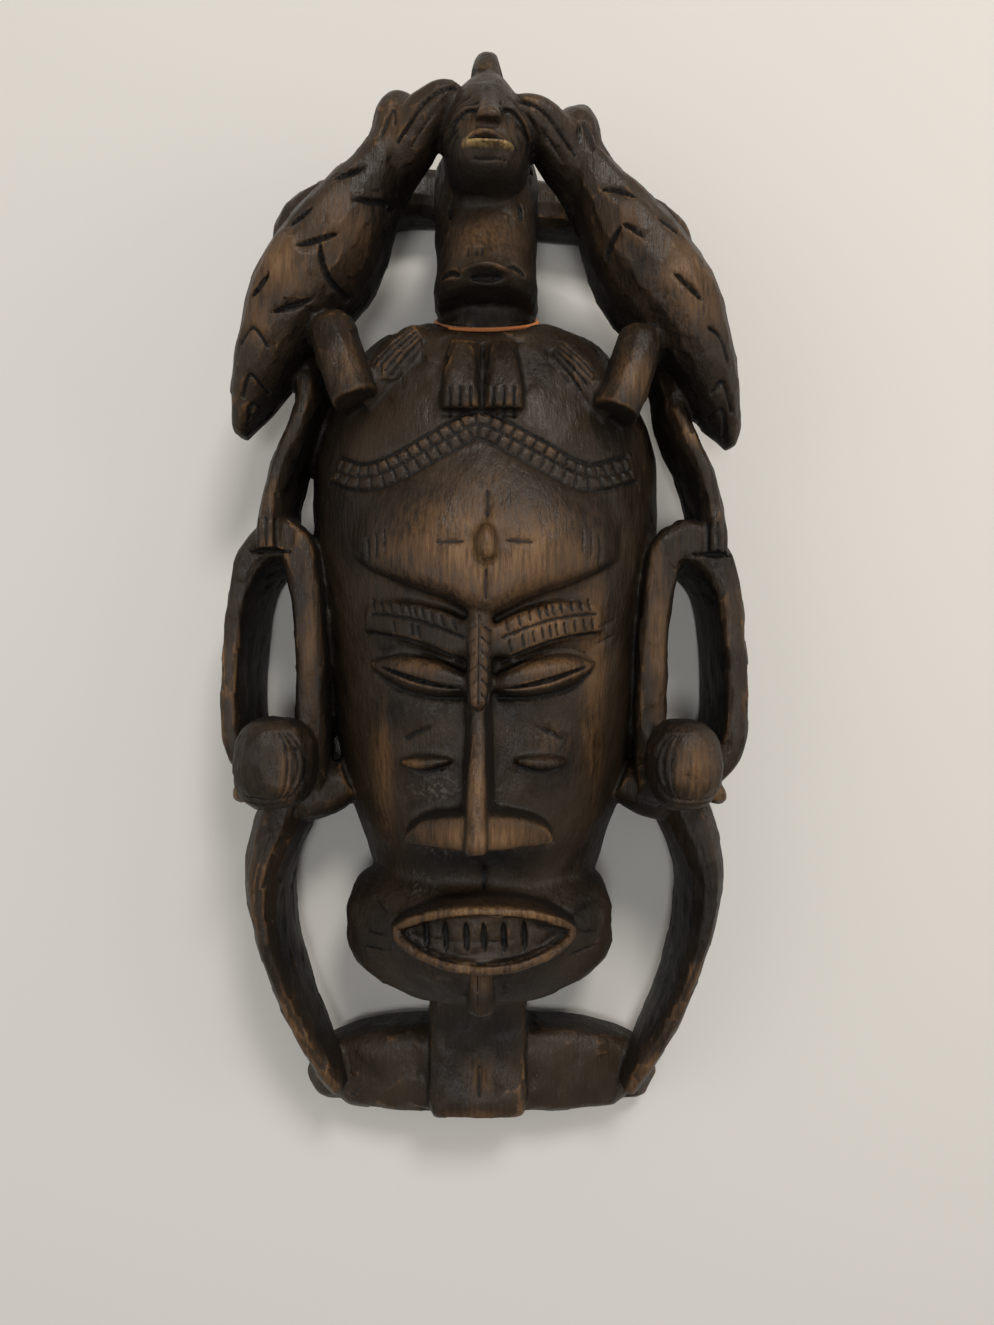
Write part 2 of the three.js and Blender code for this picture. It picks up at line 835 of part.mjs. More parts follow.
// Slashes and chevrons that stand for the feathers, the beak's gape and the grooves between toes
function birdGrooves(side) {
  const feathers = [
    [[62, 189], [52, 193]],
    [[57, 177.5], [42, 182]],
    [[80, 157], [61, 163]],
    [[94, 137], [73, 139]],
    [[74, 146], [64, 142]],
    [[99, 119], [106, 111], [112, 118]],
  ];
  const toes = [-2.4, 2.4].map((offset) => [
    [52 + offset * 0.75, 100 + offset * 0.66],
    [33 + offset * 0.75, 121 + offset * 0.66],
  ]);
  const gape = [[31, 205], [13, 221]];
  return [
    ...feathers.map((points) => ({ points: onSide(side, points), half: 1.4, depth: 2 })),
    ...toes.map((points) => ({ points: onSide(side, points), half: 1.1, depth: 2 })),
    { points: onSide(side, gape), half: 1.1, depth: 1.8 },
  ];
}

const FACE_CUT = 1.6;

function faceGrooves() {
  const stroke = (x, y, dx, dy, half) => ({
    points: [
      [x - dx, y - dy],
      [x + dx, y + dy],
    ],
    half,
    depth: FACE_CUT,
  });
  const leaf = (...sizes) => ({ ...stroke(...sizes), leaf: true });
  const onForehead = [
    leaf(FOREHEAD_X, 44, 0, 6, 2.2),
    leaf(FOREHEAD_X, 9.5, 0, 7, 2),
    leaf(FOREHEAD_X - 14.5, 27, 6.5, 0, 1.8),
    leaf(FOREHEAD_X + 13.5, 27.5, 6.5, 0, 1.8),
  ];
  const onCheeks = [-1, 1].map((side) => leaf(side * 29.5, -54.5, 6.5, -side * 3.2, 1.1));
  const teeth = [-25, -16.5, -7.4, 0.4, 9, 18].map((x) => leaf(x, -142, 0, 6.5, 1.9));
  const onFeet = [-9.5, 9].flatMap((x) => [-2.2, 2.2].map((offset) => stroke(x + offset, 93, 0, 7, 1)));
  return [
    ...onForehead,
    ...onCheeks,
    ...teeth,
    ...onFeet,
    leaf(0, -119.5, 0, 5.5, 2.2),
    leaf(POST_X, -227, 0, 8, 2.2),
  ];
}

// Thread round the neck, low in front and high behind, in a seat that clears it all round
const THREAD_FRONT_Y = 127;
const THREAD_BACK_Y = 155;
const THREAD_STEPS = 20;

function threadRing(radius, sides) {
  const thickness = THREAD_DIAMETER / 2 / share;
  const clear = thickness + THREAD_CLEARANCE / share;
  const middle = (NECK_BACK + NECK_FRONT) / 2;
  const rings = [];
  for (let step = 0; step < THREAD_STEPS; step++) {
    const angle = (2 * Math.PI * step) / THREAD_STEPS;
    const depth = (NECK_FRONT - NECK_BACK) / 2 + clear;
    const forward = Math.sin(angle);
    const centre = new THREE.Vector3(
      COLUMN_X + (NECK_HALF + clear) * Math.cos(angle),
      THREE.MathUtils.lerp(THREAD_BACK_Y, THREAD_FRONT_Y, (forward + 1) / 2),
      middle + depth * forward,
    );
    const out = new THREE.Vector3(Math.cos(angle), 0, forward);
    const ring = [];
    for (let side = 0; side < sides; side++) {
      const turn = (2 * Math.PI * side) / sides;
      const point = centre.clone().addScaledVector(out, radius * Math.cos(turn));
      point.y += radius * Math.sin(turn);
      ring.push(point);
    }
    rings.push(ring);
  }
  return skin(rings, true);
}

function carvedBlock() {
  const sides = [-1, 1].flatMap((side) => [
    brow(side),
    eye(side),
    cheekFold(side),
    arm(side),
    loop(side),
    lowerLimb(side),
    bird(side),
  ]);
  const block = join([
    shellSolid(SHELL_ROWS, SHELL_COLUMNS, -BACK_SPARE),
    forehead(),
    ladderBand(),
    nose(),
    mouthPlate(),
    mouth(),
    peg(),
    post(),
    foot(),
    archBar(),
    column(),
    smallHead(),
    ...sides,
    ...BALL_HEADS.map(ballHead),
  ]);
  const surface = surfaceFinder(block);
  const grooves = [
    ...ladderGrooves(),
    ...faceGrooves(),
    ...[-1, 1].flatMap((side) => [...browGrooves(side), ...birdGrooves(side)]),
  ];
  const seat = threadRing((THREAD_DIAMETER / 2 + THREAD_CLEARANCE) / share, 6);
  const reach = MASK_HEIGHT;
  const behind = boxSolid([-reach, -reach, -reach], [reach, reach, 0]);
  return grooves
    .reduce((whole, cut) => whole.subtract(groove(surface, cut)), block)
    .subtract(seat)
    .subtract(hollowSolid())
    .subtract(behind);
}

function meshFrom(solid, name, material) {
  const { vertProperties, triVerts, numProp } = solid.getMesh();
  const positions = new Float32Array((vertProperties.length / numProp) * 3);
  for (let index = 0; index < positions.length / 3; index++) {
    positions.set(vertProperties.subarray(index * numProp, index * numProp + 3), index * 3);
  }
  const geometry = new THREE.BufferGeometry();
  geometry.setAttribute("position", new THREE.BufferAttribute(positions, 3));
  geometry.setIndex(new THREE.BufferAttribute(triVerts, 1));
  geometry.computeVertexNormals();
  const mesh = new THREE.Mesh(geometry, material);
  mesh.name = name;
  return mesh;
}

const wood = new THREE.MeshStandardMaterial({ color: 0x35291f, roughness: 0.55, metalness: 0 });

const thread = new THREE.MeshStandardMaterial({ color: 0xc0622c, roughness: 0.7, metalness: 0 });

const mask = new THREE.Group();
mask.add(meshFrom(carvedBlock(), "carved_mask", wood));
mask.add(meshFrom(threadRing(THREAD_DIAMETER / 2 / share, 6), "neck_thread", thread));

export default mask;
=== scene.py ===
"""A carved wooden mask with a thread round the neck of its top figure, lying on a pale floor.

The carving is made here at full detail: the same forms as the frame's solid, joined and smoothed,
then cut with the fine grooves of the knife, and finished as dark waxed wood worn to brown, with
painted shade in its cuts, recesses and side walls.
Lengths of the carving are in shares, five hundred to the height of the mask, which is 1 mm each.
"""
from __future__ import annotations

import logging
import math
from dataclasses import dataclass, field, replace
from enum import Enum

import bpy
import numpy as np
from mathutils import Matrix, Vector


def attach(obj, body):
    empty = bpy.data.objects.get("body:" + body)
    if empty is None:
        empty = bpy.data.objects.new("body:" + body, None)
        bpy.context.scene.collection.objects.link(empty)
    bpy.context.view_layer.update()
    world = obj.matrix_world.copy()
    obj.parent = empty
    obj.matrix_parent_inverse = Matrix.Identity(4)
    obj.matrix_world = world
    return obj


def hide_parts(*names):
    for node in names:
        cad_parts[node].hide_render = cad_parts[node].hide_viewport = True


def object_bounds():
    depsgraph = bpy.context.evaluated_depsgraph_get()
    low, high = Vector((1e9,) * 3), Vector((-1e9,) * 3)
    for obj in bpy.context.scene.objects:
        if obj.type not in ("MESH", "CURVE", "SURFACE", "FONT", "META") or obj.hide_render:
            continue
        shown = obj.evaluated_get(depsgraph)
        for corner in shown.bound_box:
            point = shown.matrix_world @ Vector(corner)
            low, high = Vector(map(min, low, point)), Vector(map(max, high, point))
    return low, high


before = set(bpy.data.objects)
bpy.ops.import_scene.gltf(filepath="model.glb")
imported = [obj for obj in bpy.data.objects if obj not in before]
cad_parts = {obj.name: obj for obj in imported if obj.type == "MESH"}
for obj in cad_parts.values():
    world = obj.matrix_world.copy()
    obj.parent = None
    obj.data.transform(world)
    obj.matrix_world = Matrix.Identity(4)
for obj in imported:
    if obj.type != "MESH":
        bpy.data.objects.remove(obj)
cad_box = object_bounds()

LOG = logging.getLogger("carved_mask")
Array = np.ndarray
Station = tuple[float, float, float, float, float]

SHARES = 500.0
SHARE_M = 0.001
BACK_SPARE = 3.0


class Side(Enum):
    """The two halves of the mask, as the sign of X."""

    LEFT = -1
    RIGHT = 1


class Profile(Enum):
    """The shape of a cut across its line."""

    LINE = "keeps its width"
    LEAF = "widest in its middle"
    CHIP = "steep on the left of its direction and sloping on the right"
    RIDGE = "raised instead of cut"


@dataclass(frozen=True)
class HandCut:
    """How far the right-hand half differs from the left one, in shares."""

    drop: float = 6.0
    drop_start: float = -50.0
    drop_reach: float = 150.0
    spread: float = 5.0
    tuck: float = 1.5
    lowest: float = -250.0

    def place(self, side: Side, rows: Array) -> Array:
        """Moves rows that start with x and y, given outwards, to one half of the mask.

        Args:
            side: The half of the mask.
            rows: Rows of x, y and any further values.

        Returns:
            The rows with x and y in the frame's own directions.
        """
        placed = np.array(rows, dtype=float)
        rise = np.clip((placed[:, 1] - self.lowest) / SHARES, 0.0, 1.0)
        own = 1.0 if side is Side.RIGHT else 0.0
        hang = np.clip((placed[:, 1] - self.drop_start) / self.drop_reach, 0.0, 1.0) ** 2
        placed[:, 0] = side.value * (placed[:, 0] + own * (self.spread * rise - self.tuck))
        placed[:, 1] -= own * self.drop * hang
        return placed


HAND_CUT = HandCut()


def mirrored(side: Side, rows: Array) -> Array:
    """Moves rows of the face, which is alike on both sides, to one half of the mask.

    Args:
        side: The half of the mask.
        rows: Rows of x, y and any further values, given outwards.

    Returns:
        The rows with x in the frame's own direction.
    """
    placed = np.array(rows, dtype=float)
    placed[:, 0] *= side.value
    return placed


@dataclass
class Form:
    """One closed shape of the carving, in shares."""

    points: Array
    quads: Array
    triangles: Array


def spline(rows: Array, steps: int) -> Array:
    """Runs an even Catmull-Rom spline through rows of values.

    Args:
        rows: The rows that the spline passes through.
        steps: Steps from one row to the next.

    Returns:
        The rows along the spline, ends included.
    """
    rows = np.asarray(rows, dtype=float)
    first = 2 * rows[0] - rows[1]
    last = 2 * rows[-1] - rows[-2]
    held = np.vstack([first, rows, last])
    out = []
    for index in range(len(rows) - 1):
        a, b, c, d = held[index : index + 4]
        for step in range(steps):
            t = step / steps
            out.append(
                0.5
                * (
                    2 * b
                    + (c - a) * t
                    + (2 * a - 5 * b + 4 * c - d) * t * t
                    + (3 * b - a - 3 * c + d) * t**3
                )
            )
    out.append(rows[-1])
    return np.array(out)


def skin(rings: Array, closed: bool = False) -> Form:
    """Covers a row of rings with faces.

    Args:
        rings: Points as ring, place in the ring, and coordinate.
        closed: Whether the last ring runs into the first.

    Returns:
        The closed shape, capped at both ends where the row is open.
    """
    count, around, _ = rings.shape
    points = rings.reshape(-1, 3)
    bands = count if closed else count - 1
    band, side = np.meshgrid(np.arange(bands), np.arange(around), indexing="ij")
    beside = (side + 1) % around
    after = (band + 1) % count
    quads = np.stack(
        [band * around + side, band * around + beside, after * around + beside, after * around + side],
        axis=-1,
    ).reshape(-1, 4)
    triangles = np.zeros((0, 3), dtype=int)
    if not closed:
        points = np.vstack([points, rings[0].mean(axis=0), rings[-1].mean(axis=0)])
        here = np.arange(around)
        there = (here + 1) % around
        low = np.stack([np.full(around, count * around), there, here], axis=1)
        shift = (count - 1) * around
        high = np.stack([np.full(around, count * around + 1), here + shift, there + shift], axis=1)
        triangles = np.vstack([low, high])
    form = Form(points, quads, triangles)
    if volume_of(form) < 0:
        form.quads = form.quads[:, ::-1]
        form.triangles = form.triangles[:, ::-1]
    return form


def volume_of(form: Form) -> float:
    """Signed volume of a form, positive where its faces point out.

    Args:
        form: The closed shape.

    Returns:
        The volume, in cubic shares.
    """
    a, b, c, d = (form.points[form.quads[:, corner]] for corner in range(4))
    total = np.einsum("ij,ij->i", a, np.cross(b, c)).sum()
    total += np.einsum("ij,ij->i", a, np.cross(c, d)).sum()
    if len(form.triangles):
        a, b, c = (form.points[form.triangles[:, corner]] for corner in range(3))
        total += np.einsum("ij,ij->i", a, np.cross(b, c)).sum()
    return float(total / 6)


def squared(value: Array, squareness: float) -> Array:
    """Turns a cosine or sine into that of a squarer outline."""
    return np.sign(value) * np.abs(value) ** (2 / squareness)


def limb(
    stations: Array,
    squareness: float = 2.5,
    lean: float = 0.0,
    steps: int = 8,
    around: int = 36,
) -> Form:
    """Makes a limb that follows stations of x, y, half width, back and front.

    Args:
        stations: The rows of values that the limb passes through.
        squareness: 2 for an oval section, more for a squarer one.
        lean: Sideways shift for each share of depth, outwards at the back.
        steps: Sections from one station to the next.
        around: Points round each section.

    Returns:
        The closed limb.
    """
    rows = spline(np.asarray(stations, dtype=float), steps)
    ahead = np.gradient(rows[:, :2], axis=0)
    ahead /= np.linalg.norm(ahead, axis=1, keepdims=True) + 1e-9
    across = np.stack([-ahead[:, 1], ahead[:, 0]], axis=1)
    angle = 2 * math.pi * (np.arange(around) + 0.5) / around
    half = np.maximum(rows[:, 2], 0.3)[:, None]
    depth = ((rows[:, 4] - rows[:, 3]) / 2)[:, None]
    out = half * squared(np.cos(angle), squareness)[None, :]
    up = depth * squared(np.sin(angle), squareness)[None, :]
    middle = ((rows[:, 3] + rows[:, 4]) / 2)[:, None]
    x = rows[:, 0:1] + across[:, 0:1] * out - lean * up
    y = rows[:, 1:2] + across[:, 1:2] * out
    return skin(np.stack([x, y, middle + up], axis=-1))


def side_limb(side: Side, stations: Array | list[Station], **shape: float) -> Form:
    """Makes a limb on one half of the mask from stations given outwards."""
    return limb(HAND_CUT.place(side, np.array(stations)), **shape)


def face_limb(side: Side, stations: Array | list[Station], **shape: float) -> Form:
    """Makes a limb on one half of the face from stations given outwards."""
    return limb(mirrored(side, np.array(stations)), **shape)


CHIP_WALL = 0.4
CHIP_SLOPE = 1.7


@dataclass(frozen=True)
class Groove:
    """A cut of the knife, seen from the front.

    The line is in shares. Only the surface between the two heights is cut, and only where it
    faces the front.
    """

    line: tuple[tuple[float, float], ...]
    half: float
    depth: float
    profile: Profile = Profile.LINE
    above: float = 20.0
    below: float = 999.0

    def moved(self, line: Array) -> Groove:
        """The same cut along another line."""
        return replace(self, line=tuple(map(tuple, line)))

    def reach(self) -> float:
        """How far from its line the cut can be felt."""
        return self.half * (CHIP_SLOPE if self.profile is Profile.CHIP else 1.0) + 0.6

    def shape(self, away: Array, along: Array, left: Array) -> Array:
        """Works out the depth of the cut.

        Args:
            away: Distance of each spot from the line.
            along: How far along the line each spot lies, from 0 to 1.
            left: Whether each spot lies on the left of the line's direction.

        Returns:
            The depth at each spot.
        """
        half = np.full(len(away), self.half)
        if self.profile in (Profile.LEAF, Profile.CHIP):
            swell = np.clip(np.sin(math.pi * along), 0.0, 1.0) ** 0.7
            half = half * np.maximum(swell, 0.08)
        if self.profile is Profile.CHIP:
            half = half * np.where(left, CHIP_WALL, CHIP_SLOPE)
        run_out = np.clip(np.minimum(along, 1 - along) / 0.12, 0.0, 1.0)
        if self.profile is Profile.LINE:
            run_out = np.ones(len(away))
        slope = np.clip(1 - away / np.maximum(half, 1e-3), 0, 1)
        if self.profile is Profile.RIDGE:
            slope = slope * slope * (3 - 2 * slope)
        return self.depth * run_out * slope


def groove_on(side: Side, groove: Groove) -> Groove:
    """The same cut on one half of the mask."""
    return groove.moved(HAND_CUT.place(side, np.array(groove.line)))


def face_groove(side: Side, groove: Groove) -> Groove:
    """The same cut on one half of the face."""
    return groove.moved(mirrored(side, np.array(groove.line)))


@dataclass
class Surface:
    """The carving's surface as arrays, with the steps that a carver takes on it."""

    points: Array
    faces: Array
    normals: Array = field(init=False)
    incised: Array = field(init=False)

    def __post_init__(self) -> None:
        """Finds the pairs of neighbours and the normals."""
        corners = self.faces
        pairs = np.vstack([corners[:, [i, (i + 1) % corners.shape[1]]] for i in range(corners.shape[1])])
        pairs = pairs[pairs[:, 0] < pairs[:, 1]]
        self.pairs = pairs
        count = len(self.points)
        self.valence = np.bincount(self.pairs.ravel(), minlength=count).astype(float)
        self.incised = np.zeros(count)
        self.find_normals()

    def find_normals(self) -> None:
        """Works out the normal at each point."""
        a, b, c, d = (self.points[self.faces[:, corner]] for corner in range(4))
        flat = np.cross(c - a, d - b)
        total = np.zeros_like(self.points)
        for axis in range(3):
            for corner in range(4):
                total[:, axis] += np.bincount(
                    self.faces[:, corner], weights=flat[:, axis], minlength=len(self.points)
                )
        self.normals = total / (np.linalg.norm(total, axis=1, keepdims=True) + 1e-12)

    def around(self, values: Array) -> Array:
        """The mean of each point's neighbours.

        Args:
            values: One number for each point.

        Returns:
            One mean for each point.
        """
        first, second = self.pairs[:, 0], self.pairs[:, 1]
        count = len(self.points)
        total = np.bincount(first, weights=values[second], minlength=count)
        total += np.bincount(second, weights=values[first], minlength=count)
        return total / np.maximum(self.valence, 1)

    def smooth(self, rounds: int, strength: Array | float = 0.5) -> None:
        """Softens edges and joints.

        Args:
            rounds: How often the points are drawn towards their neighbours.
            strength: How far each time, for all points or for each.
        """
        for _ in range(rounds):
            for axis in range(3):
                values = self.points[:, axis]
                self.points[:, axis] += strength * (self.around(values) - values)
        self.find_normals()

    def level(self, share: Array, rounds: int) -> None:
        """Levels one place strongly, so that two forms flow into each other there.

        Args:
            share: How strongly each point belongs to the place.
            rounds: How often its points are drawn towards their neighbours.
        """
        inside = share > 0.03
        kept = np.flatnonzero(inside)
        order = np.full(len(share), -1)
        order[kept] = np.arange(len(kept))
        pairs = order[self.pairs[inside[self.pairs].all(axis=1)]]
        first, second = pairs[:, 0], pairs[:, 1]
        near = np.maximum(np.bincount(pairs.ravel(), minlength=len(kept)), 1)
        part, pull = self.points[kept], 0.9 * np.where(near < self.valence[kept], 0, share[kept])
        for _ in range(rounds):
            for axis in range(3):
                total = np.bincount(first, weights=part[second, axis], minlength=len(kept))
                total += np.bincount(second, weights=part[first, axis], minlength=len(kept))
                part[:, axis] += pull * (total / near - part[:, axis])
        self.points[kept] = part
        self.find_normals()

    def relief(self, rounds: int) -> Array:
        """How far each point stands out of its surroundings, in shares.

        Args:
            rounds: The reach of the surroundings, in rounds of smoothing.

        Returns:
            Positive values on ridges and negative ones in hollows.
        """
        soft = self.points.copy()
        for _ in range(rounds):
            for axis in range(3):
                soft[:, axis] = 0.4 * soft[:, axis] + 0.6 * self.around(soft[:, axis])
        return np.einsum("ij,ij->i", self.points - soft, self.normals)

    def cut(self, grooves: list[Groove], snap: float) -> None:
        """Cuts grooves into the front.

        Args:
            grooves: The cuts, all measured on the uncut surface.
            snap: Points closer to a line than this are drawn onto it, so that it stays crisp.
        """
        facing = self.normals[:, 2] > 0.12
        sunk = np.zeros(len(self.points))
        drawn = np.zeros((len(self.points), 2))
        order = np.argsort(self.points[:, 1])
        heights = self.points[order, 1]
        for groove in grooves:
            line = np.array(groove.line)
            if len(line) > 2:
                line = spline(line, 4)
            reach = groove.reach()
            low = np.searchsorted(heights, line[:, 1].min() - reach)
            high = np.searchsorted(heights, line[:, 1].max() + reach)
            near = order[low:high]
            spot = self.points[near]
            keep = (
                facing[near]
                & (spot[:, 0] > line[:, 0].min() - reach)
                & (spot[:, 0] < line[:, 0].max() + reach)
                & (spot[:, 2] > groove.above)
                & (spot[:, 2] < groove.below)
            )
            near, spot = near[keep], spot[keep]
            if not len(near):
                LOG.warning("groove at %s meets no wood", groove.line[0])
                continue
            towards, along, left = nearest_on(line, spot[:, :2])
            away = np.linalg.norm(towards, axis=1)
            amount = groove.shape(away, along, left)
            if groove.profile is Profile.RIDGE:
                sunk[near] = np.where(sunk[near] > 0, sunk[near], np.minimum(sunk[near], -amount))
                continue
            deeper = amount > np.maximum(sunk[near], 0.05)
            close = deeper & (away < snap)
            drawn[near[close]] = 0.8 * towards[close]
            sunk[near] = np.where(deeper, amount, sunk[near])
        self.incised = np.maximum(sunk, 0.0)
        slope = np.clip(self.normals[:, :2] / np.maximum(self.normals[:, 2:], 0.45), -1.5, 1.5)
        self.points[:, 2] -= np.einsum("ij,ij->i", slope, drawn)
        self.points[:, :2] += drawn
        direction = self.normals * 0.5
        direction[:, 2] += 0.5
        self.points -= direction * sunk[:, None]
        self.find_normals()


def nearest_on(line: Array, spots: Array) -> tuple[Array, Array, Array]:
    """Measures spots against a line in the plane of the picture.

    Args:
        line: The points of the line.
        spots: The places to measure.

    Returns:
        The step from each spot to the line, how far along the line it lies, from 0 to 1, and
        whether it lies on the left of the line's direction.
    """
    lengths = np.linalg.norm(np.diff(line, axis=0), axis=1)
    starts = np.concatenate([[0], np.cumsum(lengths)])
    best = np.full(len(spots), 1e9)
    along = np.zeros(len(spots))
    towards = np.zeros((len(spots), 2))
    left = np.zeros(len(spots), dtype=bool)
    for index, length in enumerate(lengths):
        step = line[index + 1] - line[index]
        from_start = spots - line[index]
        part = np.clip(from_start @ step / max(length**2, 1e-9), 0, 1)
        gap = part[:, None] * step - from_start
        size = np.linalg.norm(gap, axis=1)
        closer = size < best
        best[closer] = size[closer]
        towards[closer] = gap[closer]
        along[closer] = (starts[index] + part[closer] * length) / starts[-1]
        left[closer] = (step[0] * from_start[closer, 1] - step[1] * from_start[closer, 0]) > 0
    return towards, along, left


@dataclass
class FaceShell:
    """The domed shell of the face and the hollow behind it."""

    rows: tuple[tuple[float, float, float], ...] = (
        (144, 30, 46),
        (133, 61, 72),
        (120, 72, 82),
        (100, 82, 90),
        (80, 88, 95),
        (55, 89, 98),
        (30, 88, 98),
        (5, 85, 95),
        (-20, 81.5, 90.5),
        (-60, 77, 87),
        (-90, 70, 84),
        (-108, 63.5, 80),
        (-128, 57.5, 74),
        (-150, 46, 66),
    )
    curve: float = 2.6
    wall: float = 11.0
    rim: float = 9.0
    hollow_top: float = 128.0
    hollow_bottom: float = -122.0

    def sizes(self, y: Array) -> tuple[Array, Array]:
        """Half width and depth of the shell at a height.

        Args:
            y: Height on the mask, in shares.

        Returns:
            The half width and the depth.
        """
        rows = np.array(self.rows)[::-1]
        y = np.asarray(y, dtype=float)
        return np.interp(y, rows[:, 0], rows[:, 1]), np.interp(y, rows[:, 0], rows[:, 2])

    def front(self, x: Array, y: Array) -> Array:
        """Height of the plain shell above the back plane.

        Args:
            x: Place across the mask, in shares.
            y: Height on the mask, in shares.

        Returns:
            The height at each spot.
        """
        half, depth = self.sizes(y)
        reach = np.clip(np.abs(x) / half, 0, 1)
        return depth * np.sqrt(1 - reach**self.curve)

    def solid(self) -> Form:
        """The shell as a solid dome, before it is hollowed.

        Returns:
            The dome as one closed shape.
        """
        rows = spline(np.array(self.rows), 5)
        angle = math.pi * (np.arange(73) / 72 - 0.5)
        rings = []
        for y, half, depth in rows:
            x = half * np.sin(angle)
            z = depth * np.sqrt(np.clip(1 - np.abs(x / half) ** self.curve, 0, 1))
            ring = np.stack([x, np.full_like(x, y), z], axis=1)
            back = np.array([[half * 0.9, y, -BACK_SPARE], [-half * 0.9, y, -BACK_SPARE]])
            rings.append(np.vstack([ring, back]))
        return skin(np.array(rings))

    def hollow_depth(self, x: Array, y: Array) -> Array:
        """Depth of the hollow above the back plane, zero outside it.

        Args:
            x: Place across the mask, in shares.
            y: Height on the mask, in shares.

        Returns:
            The depth at each spot.
        """
        along = (self.hollow_top - y) / (self.hollow_top - self.hollow_bottom)
        inside = (along > 0) & (along < 1)
        ends = np.sin(math.pi * np.clip(along, 0.05, 0.95)) ** 0.35
        half, depth = self.sizes(y)
        half = (half - self.rim) * ends
        depth = (depth - self.wall) * ends
        reach = np.clip(np.abs(x) / half, 0, 1)
        return np.where(inside & (reach < 1), depth * np.sqrt(1 - reach**self.curve), 0.0)


SHELL = FaceShell()


@dataclass
class Forehead:
    """The swelling forehead with its V-shaped ledge, boss, leaf cuts and temple slits."""

    middle: float = 1.5
    rise: float = 15.0
    sunk: float = 20.0
    stations: tuple[tuple[float, float, float, float], ...] = (
        (-60, 24, 44, 0.1),
        (-50, 17.5, 54, 0.62),
        (-36, 11, 60, 0.9),
        (-18, 4.5, 68, 1),
        (-6, -1.5, 73, 1),
        (0, -3.8, 74, 1),
        (6, -1.5, 73, 1),
        (18, 4.5, 68, 1),
        (36, 11, 60, 0.9),
        (50, 17.5, 54, 0.62),
        (60, 24, 44, 0.1),
    )
    ledge: tuple[tuple[float, float], ...] = (
        (0, 0.5),
        (0.05, 0.9),
        (0.14, 1),
        (0.35, 0.88),
        (0.6, 0.58),
        (0.82, 0.22),
        (1, -0.06),
    )
    boss: tuple[Station, ...] = (
        (0, 36, 1, 95, 110.5),
        (0, 33.5, 3.8, 95, 114.5),
        (0, 28, 5.6, 95, 117),
        (0, 22, 5.6, 95, 116.5),
        (0, 18.5, 2.4, 95, 112),
    )
    temple: tuple[tuple[float, float], ...] = ((42.5, 29.5), (46.5, 28), (50.5, 26))

    def forms(self) -> list[Form]:
        """The bulge and the oval boss in its middle.

        Returns:
            The closed shapes.
        """
        ledge = spline(np.array(self.ledge), 5)
        rings = []
        for across, low, high, share in spline(np.array(self.stations), 5):
            x = self.middle + across
            y = low + (high - low) * ledge[:, 0]
            z = SHELL.front(x, y) + self.rise * share * ledge[:, 1]
            ring = np.stack([np.full_like(y, x), y, z], axis=1)
            back = [
                [x, high, float(SHELL.front(x, high)) - self.sunk],
                [x, low, float(SHELL.front(x, low)) - self.sunk],
            ]
            rings.append(np.vstack([ring, back]))
        boss = np.array(self.boss) + np.array([self.middle, 0, 0, 0, 0])
        return [skin(np.array(rings)), limb(boss, squareness=2)]

    def grooves(self) -> list[Groove]:
        """Leaf cuts round the boss and slits on the temples.

        Returns:
            The cuts.
        """
        x = self.middle
        leaves = (
            ((x + 0.4, 37.5), (x + 0.4, 51.5), 2.7, 1.2),
            ((x - 0.2, 2.5), (x, 17.5), 2.5, 1.3),
            ((x - 22.5, 27.6), (x - 8.6, 27.9), 2.3, 1.3),
            ((x + 7.4, 28.4), (x + 21, 27.6), 2.3, 1.3),
        )
        cuts = [Groove((a, b), half, depth, Profile.LEAF, above=80) for a, b, half, depth in leaves]
        for side in Side:
            for offset, height in self.temple:
                line = ((offset, height - 6.5), (offset + 0.5, height + 6.5))
                cuts.append(face_groove(side, Groove(line, 0.9, 1.3, Profile.CHIP, above=50)))
        return cuts


@dataclass
class LadderBand:
    """The raised band of square cells in two rows that crosses the crown."""

    path: tuple[tuple[float, float], ...] = (
        (-69, 66),
        (-58, 60.5),
        (-47, 60),
        (-35, 64),
        (-19, 72.5),
        (-8, 78.5),
        (-2, 80.5),
        (7, 77),
        (23, 68.5),
        (40, 60),
        (52, 59.5),
        (68, 66),
    )
    half: float = 5.8
    rise: float = 1.3
    rungs: int = 28

    def line(self) -> Array:
        """The middle of the band, in even steps.

        Returns:
            Points along the band.
        """
        fine = spline(np.array(self.path), 24)
        steps = np.concatenate([[0], np.cumsum(np.linalg.norm(np.diff(fine, axis=0), axis=1))])
        even = np.linspace(0, steps[-1], self.rungs * 4 + 1)
        return np.stack([np.interp(even, steps, fine[:, axis]) for axis in range(2)], axis=1)

    def forms(self) -> list[Form]:
        """The plain raised band.

        Returns:
            The closed shapes.
        """
        line = self.line()[::2]
        front = SHELL.front(line[:, 0], line[:, 1]) + self.rise
        rows = np.column_stack([line, np.full(len(line), self.half), front - 14, front])
        return [limb(rows, squareness=6, steps=2)]

    def grooves(self) -> list[Groove]:
        """Edges, the parting line between the rows, and the rungs.

        Returns:
            The cuts.
        """
        line = self.line()
        ahead = np.gradient(line, axis=0)
        ahead /= np.linalg.norm(ahead, axis=1, keepdims=True)
        out = np.stack([-ahead[:, 1], ahead[:, 0]], axis=1)
        cuts = []
        edge = self.half + 0.3
        for offset, half, depth in ((0.0, 0.9, 1.5), (edge, 1.3, 2.1), (-edge, 1.1, 1.5)):
            cuts.append(Groove((), half, depth, above=40).moved((line + out * offset)[::4]))
        for index in range(2, len(line) - 1, 4):
            for low, high, shift in ((0.3, 5.6, 0), (-5.6, -0.3, 1)):
                a = line[index + shift] + out[index + shift] * low
                b = line[index + shift] + out[index + shift] * high
                cuts.append(Groove((tuple(b), tuple(a)), 0.95, 1.6, above=40))
        return cuts


